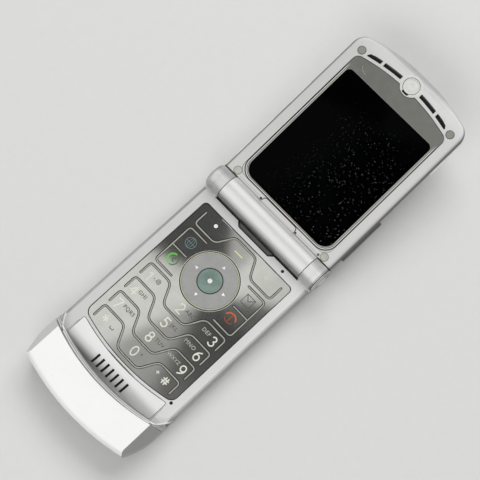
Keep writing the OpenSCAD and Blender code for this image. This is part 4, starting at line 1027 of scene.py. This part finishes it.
z = SIGN_Z
x, y = -14.5, 23.0
sign("globe_sign", [ring_stroke(x, y, 2.0, 2.0, z, 0.2), ring_stroke(x, y, 0.9, 2.0, z + OVER, 0.16),
                    stroke(line((x, y - 1.9), (x, y + 1.9)), z + 2 * OVER, 0.14),
                    stroke(line((x - 1.95, y), (x + 1.95, y)), z + 3 * OVER, 0.16)], "web_key", "teal")
x, y = 14.3, 22.9
flap = line((x - 1.8, y - 1.75), (x, y + 0.1), (x + 1.8, y - 1.75))
paper_edge = box(x - 1.9, y - 1.85, x + 1.9, y + 1.85)
sign("envelope_sign", [stroke(line(*paper_edge, paper_edge[0]), z, 0.26), stroke(flap, z + OVER, 0.3)],
     "message_key", "slate")
x, y = -14.6, 31.5
sign("send_sign", [stroke(arc(x, y, 1.95, 2.05, 105, 262, 40), z, 0.62)], "send_key", "green")
sign("send_sign_dim", [stroke(arc(x, y, 1.95, 2.05, -50, 80, 24), z, 0.4),
                       stroke(arc(x + 0.4, y - 0.1, 0.5, 0.6, 60, 300, 20), z + OVER, 0.45)],
     "send_key", "leaf")
x, y = 14.3, 31.2
sign("end_sign", [stroke(arc(x, y + 0.5, 2.2, 2.1, 198, 342, 30), z, 0.5)], "end_key", "orange")
sign("end_sign_dim", [stroke(line((x, y - 1.1), (x, y + 1.5)), z + OVER, 0.5),
                      stroke(arc(x, y + 0.4, 1.9, 1.7, 30, 150, 24), z, 0.35)], "end_key", "rust")
sign("soft_dot_left", [turned([(0, z), (0.72, z), (0.7, z + 0.03), (0, z + 0.05)], (-12.9, 12.5), 32)],
     "soft_key_left", "white")
sign("soft_dot_right", [ring_stroke(12.5, 12.45, 0.62, 0.62, z, 0.24)], "soft_key_right", "lime")
sign("menu_dash", [stroke(line((-1.75, 13.75), (1.6, 13.75)), z, 0.5)], "menu_key", "lime")
piece("ring_arrows", [arrow(a) for a in (0, pi / 2, pi, 3 * pi / 2)], "rocker_ring", "rocker_grey",
      finish="legend_white")
piece("select_dot", [turned([(0, 7.39), (0.86, 7.39), (0.84, 7.42), (0, 7.43)], CENTRE, 32)], "select_button",
      "select_green", finish="legend_white")

# %% [markdown]
# ## Display window
# One clear sheet lies over the black display. Its border is printed grey from behind, with fine parallel
# lines near the edge and a thin light line round the display, and dust has gathered under it. A picture of
# it would blur, so the print is worked out from distances to the two outlines, at any closeness.

# %% Window print
LENS_HALF, LENS_Y, LENS_END_Y, LENS_R, BADGE_Y = 21.8, 7.0, 68.3, 80.0, 70.4
DIP_R, OUTER_X, OUTER_Y, OUTER_HALF = 4.2, 11.9, 46.0, 8.9
SCREEN = dict(middle_y=34.2, half_x=20.45, half_y=26.05, radius=2.0, foot=2.6)
SHEET = dict(middle_y=40.0, half_x=LENS_HALF, half_y=33.0, radius=3.4, foot=1.9)
PRINT_LINES = ((0.0, 0.34, (30, 30, 28)), (0.42, 0.66, (226, 226, 220)), (0.74, 0.90, (50, 50, 48)),
               (0.97, 1.12, (206, 206, 200)), (1.19, 1.34, (56, 56, 54)))


def length(x, y):
    return (x * x + y * y).power(0.5)


def lid_places(finish):
    """The place on the piece, its x, and its distance from the hinge along the lid."""
    spot = finish.where()
    x, y, z = finish.parts(spot)
    return spot, x, y * cos(LID_TILT) + (z - HINGE_Z) * sin(LID_TILT)


def to_box(x, along, middle_y, half_x, half_y, radius, foot):
    """Distance to a rounded rectangle, negative inside: the length of the outward part of the distance
    to its sides, plus the inward part, less the radius, which grows by foot towards the hinge."""
    radius = (middle_y - along).between(0.0, 1.0) * foot + radius
    across = abs(x) - (half_x - radius)
    down = abs(along - middle_y) - (half_y - radius)
    ax, dy = across.most(0.0), down.most(0.0)
    return length(ax, dy) + across.most(down).least(0.0) - radius


def lens_dust(finish, spot, x, along):
    """Specks that gather on the right, thin out towards the ends and come in clumps."""
    near = ((x + 20) / 40).between(0.1, 0.7) * (1 - abs(along - 30).between(16, 27)) + 0.05
    clump = finish.noise(spot, 8.0, 2.0).between(0.35, 0.65)
    dense = (x - 6).between(0, 7) * (1 - (along - 15).between(0, 7))
    dust = finish.specks(spot, 0.6, 0.085, 0.17) * near * clump
    return dust.most(finish.specks(spot, 0.38, 0.085, 0.14) * (near * 0.5 + dense * 0.9) * 0.75)


def window_print():
    """Display black inside a rounded rectangle, printed grey outside it, lines by the distance to the edge."""
    finish = Finish("window_print")
    spot, x, along = lid_places(finish)
    screen = to_box(x, along, **SCREEN)
    tip = length(x, along + (LENS_R - LENS_END_Y)) - LENS_R
    edge = to_box(x, along, **SHEET).most(tip) * -1.0
    edge = edge.least(length(x, along - BADGE_Y) - DIP_R)
    cloud = finish.noise(spot, 3.0, 3.0)
    border = finish.mix(cloud.between(0.2, 0.8), shade(112, 112, 108), shade(118, 118, 114))
    beside = 0.97 - along.between(59, 62) * 0.97
    border = finish.layers(border, ((x + 22).between(0, 44) * 0.35, (128, 127, 122)),
                           (1 - edge.between(0.05, 0.12), (44, 44, 42)),
                           *((edge.band(low, high, 0.03) * beside, tone) for low, high, tone in PRINT_LINES),
                           ((0 - edge).between(0.0, 0.05), (202, 202, 199)),
                           (screen.band(0.0, 0.14, 0.04) * 0.8, (140, 140, 134)))
    glass = finish.mix(screen.between(-0.02, 0.02), shade(2, 2, 3), border)
    dust = lens_dust(finish, spot, x, along)
    scuff = abs(finish.noise(spot, 9.0, 1.0, 0.4) - 0.5).between(0.0, 0.004)
    glass = finish.layers(glass, (dust.least(1.0) * 0.9, (214, 214, 212)),
                          ((1 - scuff) * 0.10 * screen.between(0, 0.5), (200, 200, 196)))
    finish.set(Base_Color=glass, Roughness=0.22 + dust * 0.5 + cloud * 0.06, Coat_Weight=1.0,
               Coat_Roughness=0.04, Coat_IOR=1.09, Specular_IOR_Level=0.0)
    return finish.material


def outer_print():
    """Dark glass over the small outer display: a lighter rectangle inside a black border with a thin line."""
    finish = Finish("outer_print")
    spot, x, along = lid_places(finish)
    inwards = (OUTER_X - abs(x)).least(OUTER_HALF - abs(along - OUTER_Y))
    cloud = finish.noise(spot, 3.0, 2.0)
    tone = finish.mix(inwards.between(1.5, 1.6), shade(12, 12, 13), shade(30, 33, 32))
    tone = finish.layers(tone, (inwards.band(0.0, 0.16, 0.03) * 0.7, (120, 122, 122)),
                         (finish.specks(spot, 0.9, 0.1, 0.1) * 0.5, (190, 190, 186)))
    finish.set(Base_Color=tone, Roughness=0.25 + cloud * 0.05, Coat_Weight=1.0, Coat_Roughness=0.03)
    return finish.material


finishes |= {"clear_lens": window_print(), "outer_print": outer_print()}
print("finishes with the two printed windows", len(finishes))

# %% [markdown]
# The sheet's outline is an arched rectangle with a dip round the badge. It is drawn as the arched outline
# with the points near the badge left out and an arc put in their place, then raised with an eased edge.

# %% Window sheet
lens_line = arched(LENS_HALF, LENS_Y, LENS_END_Y, LENS_R, 3.4, 2.5)
lens_line = lens_line[np.hypot(lens_line[:, 0], lens_line[:, 1] - BADGE_Y) > DIP_R + 0.2]
dip = arc(0, BADGE_Y, DIP_R, DIP_R, -31.3, -148.7, 20)
top = np.flatnonzero(lens_line[:, 0] < 0)[0]
lens_line = np.concatenate([lens_line[:top], dip, lens_line[top:]])
piece("window_sheet", [raised(lens_line, [(0, 0.45), (0, 1.06), (0.03, 1.12), (0.09, 1.15)])], "lid",
      "clear_lens", ["inner_lens"])

# %% [markdown]
# The badge is a disc with a shallow ring in its face, and the bumpers are moulded studs that keep the lid
# off the keys. Each is one profile, turned as a lathe would turn it.

# %% Badge and bumpers
BADGE, TIP_Y, FOOT_Y = (0, BADGE_Y), 67.5, 6.65
BUMPER_XS = (-21.6, 21.6)
badge = [(0, 0.7), (3.0, 0.7), (2.98, 1.24), (2.94, 1.32), (2.84, 1.35), (2.66, 1.35), (2.56, 1.3),
         (2.48, 1.22), (2.2, 1.2), (1.5, 1.22), (1.42, 1.25), (1.3, 1.25), (1.22, 1.22), (0, 1.23)]
bumper = [(0, 0.8), (1.4, 0.8), (1.4, 1.38), (1.34, 1.43), (1.24, 1.45), (1.0, 1.45), (0.9, 1.42), (0.7, 1.43),
          (0, 1.44)]
piece("badge_turned", [turned(badge, BADGE, 72)], "lid", "bright_trim", ["badge_disc"], "badge_satin")
piece("bumpers_tip", [turned(bumper, (x, TIP_Y), 48) for x in BUMPER_XS], "lid", "bumper_rubber",
      ["rubber_bumpers"], "bumper_worn")
piece("bumpers_foot", [turned(bumper, (x, FOOT_Y), 48) for x in BUMPER_XS], "lid", "bumper_rubber")

# %% [markdown]
# Small holes would need a boolean in a finished shell. A dark plug that ends just above the surface, as if
# the light were lost in it, looks the same from every side and costs a few faces.

# %% Dark holes and the small crescent
dark("hole_shades", [turned([(0, 6.3), (r, 6.3), (r, BASE_TOP + 0.01), (0, BASE_TOP + 0.005)], (x, y), 32)
                     for x, y, r in ((14.85, 6.9, 0.58), (21.7, 65.9, 0.6))])
crescent = corners([(-1.1, BADGE_Y - 3.68), (1.1, BADGE_Y - 3.68), (1.5, BADGE_Y - 3.0), (-1.5, BADGE_Y - 3.0)],
                   0.1, 3)
dark("lid_hole_shades", [turned([(0, 0.81), (0.44, 0.81), (0.44, 1.2), (0, 1.18)], (19.5, 5.8), 32),
                         slab(crescent, 0.9, 1.425)], "lid")

# %% [markdown]
# ## Hinge
# Each end of the barrel is closed by a shell with a bright disc in it over a dark floor, and the right
# shell has two grooves. Discs and rings could be stacked for that, but one profile of (radius, distance from
# the middle) holds every step of a round part. It is turned and then laid along the hinge axis.

# %% Hinge end caps
AXIS_STEPS = 72
cap_disc = [(0, 25.4), (2.7, 25.4), (2.7, 26.66), (2.62, 26.8), (2.42, 26.84), (2.28, 26.78), (2.2, 26.5),
            (1.9, 26.5), (1.84, 26.7), (1.65, 26.78), (0, 26.8)]
cap_shell = [(3.5, 24.0), (4.875, 24.0), (4.87, 25.6), (4.78, 26.0), (4.62, 26.35), (4.3, 26.72), (3.95, 27.0),
             (3.7, 27.08), (3.5, 27.0)]
cap_grooves = [box(4.5, 25.46, 4.9, 25.6), [(4.0, 25.92), (4.85, 25.92), (4.72, 26.2), (4.0, 26.2)]]
piece("hinge_caps_turned", on_ends(turned(cap_disc, steps=AXIS_STEPS)), "base", "bright_trim",
      ["hinge_end_caps"], place=in_frame)
piece("hinge_cap_shells", on_ends(hoop(cap_shell, steps=AXIS_STEPS)), "base", "body_silver", place=in_frame)
dark("hinge_cap_grooves", [on_ends(hoop(profile, steps=AXIS_STEPS))[0] for profile in cap_grooves],
     place=in_frame)
dark("hinge_cap_floors", on_ends(hoop(box(2.6, 26.2, 3.6, 26.25), steps=AXIS_STEPS)), place=in_frame)

# %% [markdown]
# Where two mouldings meet there is a hairline, and where the lid passes the base there is a gap. Each is a
# dark solid: in a gap it fills the depth, and on a face it stands 0.01 to 0.02 mm proud, so that it never
# flickers against the shell.

# %% Dark seams and gaps
dark("barrel_seams", on_ends(hoop(box(4.0, 20.08, 4.87, 20.32), steps=AXIS_STEPS)), place=in_frame)
dark("hinge_gap_shade", [slab(box(-20.4, 4.95, 20.4, 5.19), 4.7, 7.2)])
notch = line((-8.95, 5.25), (-7.3, 6.86), (7.3, 6.86), (8.95, 5.25))
dark("notch_line", [stroke(notch, BASE_TOP, 0.34, 0.015)])
# Painted shade: a dark stroke along the housing's edge under the barrel.
dark("hinge_edge_shade", [stroke(line(*ends), BASE_TOP - 0.005, 0.3, 0.015)
                    for ends in (((-20.6, 5.32), (-9.1, 5.32)), ((9.1, 5.32), (20.6, 5.32)))])
foot_gaps = mirrored([(19.95, -4.72), (26.3, -4.72), (25.6, -4.2), (19.95, -4.2)])
for name, outline in zip(("left", "right"), foot_gaps):
    dark("foot_gap_" + name, [slab(outline, 8.0, 11.05)])

# %% [markdown]
# ## Ramp, bar and cheeks
# The bar with the seven sound slots lies on a hollow ramp. Its outline, a dark line of painted shade beside
# each crease of the cheeks and a bright line of painted highlight on each crease are strokes, drawn flat and
# then laid on the ramp's curve. The dark sheet behind the slots is painted shade in them; it is cut in three
# along the ramp, so that flat pieces follow the curve.

# %% Outline of the bar and the cheeks
BAR_X, BAR_TURN_Y, SLOTS, SLOT_PITCH, SLOT_HALF = 20.68, 67.0, 7, 2.36, 0.5
top_arc = arc(0, -16.7, 86.2, 86.2, 90 - 12.4, 90 + 12.4, 40)
low_arc = arc(0, -0.6, 78.2, 78.2, 90 - 15.2, 90 + 15.2, 40)
bar_corner = softened([(BAR_X, 69.2), (BAR_X, BAR_TURN_Y), tuple(top_arc[0])], [1.8])
half_edge = np.concatenate([line((BAR_X, 74.6), (BAR_X, 69.3), steps=8), bar_corner, top_arc[1:-1]])
bar_edge = both_sides(half_edge[half_edge[:, 0] > 0])
dark("bar_outline", [on_ramp(stroke(bar_edge, 0.0, 0.24, 0.012)), on_ramp(stroke(low_arc, 0.0, 0.2, 0.012))],
     finish="dark_rubber")
crease_x = np.linspace(21.7, 26.35, 14)
crease = np.column_stack([crease_x, 75.6 - 4.9 * ((crease_x - 21) / 5.25) ** 2.1])
# Painted shade: a dark stroke beside each crease.
dark("cheek_crease_shades", [on_ramp(stroke(path, 0.0, 0.2, 0.012)) for path in mirrored(crease + (0, 0.36))],
     finish="legend_dim")
# Painted highlight: a bright stroke on each crease.
piece("cheek_crease_highlights", [on_ramp(stroke(path, 0.0, 0.34, 0.05)) for path in mirrored(crease)], "base",
      "body_silver", finish="lip_bright")
fillets = mirrored(box(20.45, 4.58, 26.3, 5.5))
piece("knuckle_fillets", [slab(outline, 7.0, BASE_TOP + 0.005) for outline in fillets], "base", "body_silver")
pads = mirrored(np.concatenate([bar_corner, [(18.5, 67.2), (20.95, 66.6), (20.95, 69.2)]]))
piece("bar_corner_pads", [slab(outline, 7.3, BASE_TOP + 0.008) for outline in pads], "base", "body_silver")
# Painted shade: a dark sheet under the slots.
dark("slot_shade_sheets", [on_ramp(slab(box(x - SLOT_HALF, near, x + SLOT_HALF, far), -0.7, -0.62))
                    for near, far in ((71.6, 73.4), (73.4, 74.8), (74.8, 76.2))
                    for x in (np.arange(SLOTS) - SLOTS // 2) * SLOT_PITCH])

# %% [markdown]
# ## Back of the lid
# Outside, the lid has a dark window over the small display and a camera in a polished rim. The camera's
# glass is a shallow dome that sits below the rim, where nothing can scratch it. A sphere cut off would do for
# it, but a profile gives the dome and the rim round it the same axis.

# %% Outer window and camera
CAMERA = (0, 62.5)
window = corners(box(-12.95, 36.05, 12.95, 55.95), 3.9, 8)
piece("outer_window", [raised(window, [(0.12, BACK), (0.03, BACK + 0.03), (0, BACK + 0.1), (0, BACK + 0.6)])],
      "lid", "dark_lens", ["outer_lens"], "outer_print")
camera_rim = [(2.4, BACK + 0.1), (3.62, BACK + 0.1), (3.62, BACK - 0.1), (3.54, BACK - 0.15),
              (3.2, BACK - 0.16), (3.02, BACK - 0.1), (2.6, BACK), (2.4, BACK + 0.04)]
camera_glass = [(0, BACK - 0.02), (1.0, BACK + 0.02), (1.6, BACK + 0.12), (1.95, BACK + 0.26),
                (1.95, BACK + 0.34), (0, BACK + 0.34)]
piece("camera_rim", [hoop(camera_rim, CAMERA, 72)], "lid", "bright_trim")
piece("camera_glass", [turned(camera_glass, CAMERA, 48)], "lid", "dark_lens")

# %% [markdown]
# ## Face of the lid
# At its foot the rim carries a raised tab with a dark disc on each side. At its tip a collar holds the badge,
# and it is kept below the ramp that it meets when the phone is shut. Behind the ear slots lies a dark sheet of
# painted shade, and dark lines of painted shade run along the slots; these, the gaps round the bumpers and a
# long scratch in the window are strokes.

# %% Lid details
tab = corners([(-8.2, 4.75), (8.2, 4.75), (7.6, 6.72), (-7.6, 6.72)], 0.7, 8)
tab_line = corners([(-8.45, 5.0), (8.45, 5.0), (7.8, 6.92), (-7.8, 6.92)], 0.7, 8)
piece("foot_tab", [raised(tab, [(0, 1.0), (0, 1.38), (0.04, 1.43), (0.14, 1.455), (0.4, 1.46)])], "lid",
      "body_silver", finish="rim_silver")
dark("foot_tab_line", [slab(tab_line, 1.0, FACE + 0.012)], "lid")
dark("foot_dark_discs", [turned([(0, 1.0), (r, 1.0), (r, FACE + 0.01), (0, FACE + 0.012)], (x, 5.45), 24)
                      for x, r in ((-8.75, 0.42), (8.6, 0.36))], "lid")
foot_lines = mirrored(line((9.6, 5.75), (19.6, 5.75)))
dark("foot_lines", [stroke(path, FACE - 0.004, 0.16, 0.012) for path in foot_lines], "lid", "legend_soft")
collar, collar_faces = hoop([(3.12, FACE - 0.1), (3.95, FACE - 0.1), (3.9, FACE + 0.02), (3.7, FACE + 0.09),
                             (3.4, FACE + 0.1), (3.2, FACE + 0.04), (3.12, FACE - 0.02)], BADGE)
collar[:, 2] = np.minimum(collar[:, 2], HINGE_Z - ramp_height(collar[:, 1]) - 0.04)
piece("badge_collar", [(collar, collar_faces)], "lid", "bright_trim", finish="lip_bright")
dark("badge_gap", [ring_stroke(*BADGE, 3.07, 3.07, FACE - 0.03, 0.2)], "lid")
piece("lens_scratch", [stroke(arc(-14.2, 66.0, 3.9, 3.9, 214, 268, 16), 1.146, 0.13, 0.01)], "lid",
      "clear_lens", finish="legend_soft")
for name, y, width, tone in (("foot", FOOT_Y, 0.24, "legend_dim"), ("tip", TIP_Y, 0.28, "hole_dark")):
    gaps = [ring_stroke(x, y, 1.46, 1.46, FACE - 0.005, width) for x in BUMPER_XS]
    dark("bumper_gaps_" + name, gaps, "lid", tone)
# Painted shade: dark strokes along the ear slots.
slot_shade_strokes = []
for start_x, outer_x, inner_x in ((4.7, 12.2, 12.2), (13.5, 17.0, 18.7)):
    for radius, end_x in ((LENS_R + 0.58, outer_x), (LENS_R - 0.78, inner_x)):
        start, end = (np.degrees(np.arccos(x / radius)) for x in (start_x, end_x))
        slot_shade_arc = arc(0, BADGE_Y - LENS_R, radius, radius, start, end, 16)
        slot_shade_strokes += [stroke(path, FACE - 0.005, 0.18, 0.015) for path in mirrored(slot_shade_arc)]
dark("ear_slot_shade_lines", slot_shade_strokes, "lid")
# Painted shade: a dark sheet behind the ear slots.
slot_arc = arc(0, BADGE_Y - LENS_R, 78.4, 78.4, 90 + 13.9, 90 - 13.9, 40)
dark("ear_slot_shade_sheet", [stroke(slot_arc, 0.62, 3.4, 0.03)], "lid")

# %% [markdown]
# ## Stage
# A plain pale floor, and soft light from two large panels that no reflection shows. A dim world fills the
# shadows.


# %% Floor and light
def panel(name, place, size, power):
    """A rectangular light that looks at the origin and isn't seen in reflections."""
    lamp_data = bpy.data.lights.new(name, "AREA")
    lamp_data.shape, lamp_data.size, lamp_data.size_y, lamp_data.energy = "RECTANGLE", *size, power
    lamp = bpy.data.objects.new(name, lamp_data)
    lamp.location = place
    lamp.rotation_euler = (-Vector(place)).to_track_quat("-Z", "Y").to_euler()
    bpy.context.scene.collection.objects.link(lamp)
    lamp.visible_glossy = False


def plain(name, outline, height, finish):
    """An object with one flat face."""
    mesh = bpy.data.meshes.new(name)
    mesh.from_pydata([(x, y, height) for x, y in outline.tolist()], [], [range(len(outline))])
    mesh.materials.append(finish.material)
    made = bpy.data.objects.new(name, mesh)
    bpy.context.scene.collection.objects.link(made)
    return made


panel("panel_back", (-0.35, 0.80, 1.0), (1.2, 0.7), 11.5)
panel("panel_front", (0.30, -0.95, 0.9), (1.2, 0.6), 7.0)
paper_finish = Finish("floor")
paper = paper_finish.noise(paper_finish.where(), 3.0, 4.0)
paper_finish.set(Base_Color=paper_finish.mix(paper, shade(222, 222, 220), shade(226, 226, 224)), Roughness=0.9)
floor = plain("floor", box(-3.0, -3.0, 3.0, 3.0), -0.0001, paper_finish)
print("floor and", len(bpy.data.lights), "lights")

# %% [markdown]
# The world's strength is chosen by the kind of ray: a pale constant for what the camera sees, a glow that
# grows upwards for reflections, and a dim constant for everything else.

# %% World
WORLD_DIM, WORLD_PALE = 0.30, 0.80
world = bpy.data.worlds.new("world")
bpy.context.scene.world = world
world.use_nodes = True
sky = Tree(world.node_tree)
rays = sky.node("ShaderNodeLightPath").socket.node
camera_ray, glossy_ray, clear_ray = (Value(sky, rays.outputs[n]) for n in
                                     ("Is Camera Ray", "Is Glossy Ray", "Is Transmission Ray"))
_, _, up = sky.parts(sky.node("ShaderNodeTexCoord", out=0))
glow = 0.10 + up.between(0.0, 0.5) * 0.80
pale = camera_ray.most(clear_ray)
level = sky.node("ShaderNodeMix", {"data_type": "FLOAT"}, {0: glossy_ray, 2: WORLD_DIM, 3: glow})
level = sky.node("ShaderNodeMix", {"data_type": "FLOAT"}, {0: pale, 2: level, 3: WORLD_PALE})
background = world.node_tree.nodes["Background"]
sky.plug(background.inputs["Strength"], level)
background.inputs["Color"].default_value = (1, 1, 1, 1)
print("world nodes", len(world.node_tree.nodes))

# %% [markdown]
# The polished keys mirror what hangs over them. A glowing card that only reflections can see takes the part
# of a room there: pale, with a dark wedge at one corner, a dark side, a soft strip and a soft middle. Its
# pattern is drawn in steps across and down the card, each an edge with a smooth transition.

# %% Reflection card
CARD_LEFT, CARD_TOP, CARD_STEP = -98, 124, 2.4185
card_finish = Finish("card")
card_finish.tree.nodes.remove(card_finish.shader)
x, y, _ = card_finish.parts(card_finish.where())
across, down = (x - CARD_LEFT) / CARD_STEP, (y - CARD_TOP) / -CARD_STEP
upper = 30.7 - (across + 12) * 0.35 - down
wedge = upper.between(-1.5, 1.5) * 0.78 + upper.between(-9, 0) * 0.22
wedge = wedge * ((down - 9.6) * 0.83 - 8 - across).between(-2.0, 2.0)
side = (down - 33.3 + across * 0.7).between(-3.0, 2.6)
side_width = 1.4 + ((down - 37) * 0.13).most(0.0)
side = side * ((across - 4.1 - (down - 37) * 0.31) / side_width).between(-1.0, 1.0)
strip = (1 - across.between(2.5, 5.5)) * (1 - down.between(29, 33))
middle = (across - 1 + (down - 40) * 0.3).between(-2.5, 2.5) * down.between(30, 34)
level = 0.86 * (1 - strip * 0.38) * (1 - middle * 0.5) * (1 - across.between(8, 18) * 0.13)
side_depth = 0.83 - down.between(31, 50) * 0.09 - down.between(50, 64) * 0.2
level = level * (1 - wedge * 0.855) * (1 - side * side_depth) + 0.01
glowing = card_finish.node("ShaderNodeEmission", {}, {"Color": (1, 1, 1, 1), "Strength": level})
output = next(n for n in card_finish.tree.nodes if n.type == "OUTPUT_MATERIAL")
card_finish.plug(output.inputs[0], glowing)
card = plain("card", box(-0.19, -0.07, -0.01, 0.13)[::-1], 0.6, card_finish)
card.visible_camera = card.visible_diffuse = card.visible_shadow = card.visible_transmission = False
print("stage set")

# %% [markdown]
# ## The rest of the solids
# Shells, covers and hinge parts have the right shape already. A copy of each gets rounded edges, because
# every real edge catches a line of light, and the inner parts keep their solids with a finish of their own.

# %% Eased shells and finished solids
EASED = {"base_front_housing": 0.12, "base_rear_housing": 0.12, "chin_cover": 0.25, "grille_bar": 0.15,
         "lid_outer_housing": 0.12, "lid_inner_housing": 0.12, "flex_cover": 0.15, "port_cover": 0.25,
         "volume_rocker": 0.3, "smart_key": 0.3, "voice_key": 0.25, "battery_door": 0.1, "door_latch": 0.1}
OWN_FINISH = {"lid_inner_housing": "rim_silver", "port_cover": "port_grey"}
for name, width in EASED.items():
    eased(name, width, OWN_FINISH.get(name))
for name, node in nodes.items():
    node.data.materials.clear()
    node.data.materials.append(finishes[slot_of(name)])
print("solids with a finish", len(nodes))
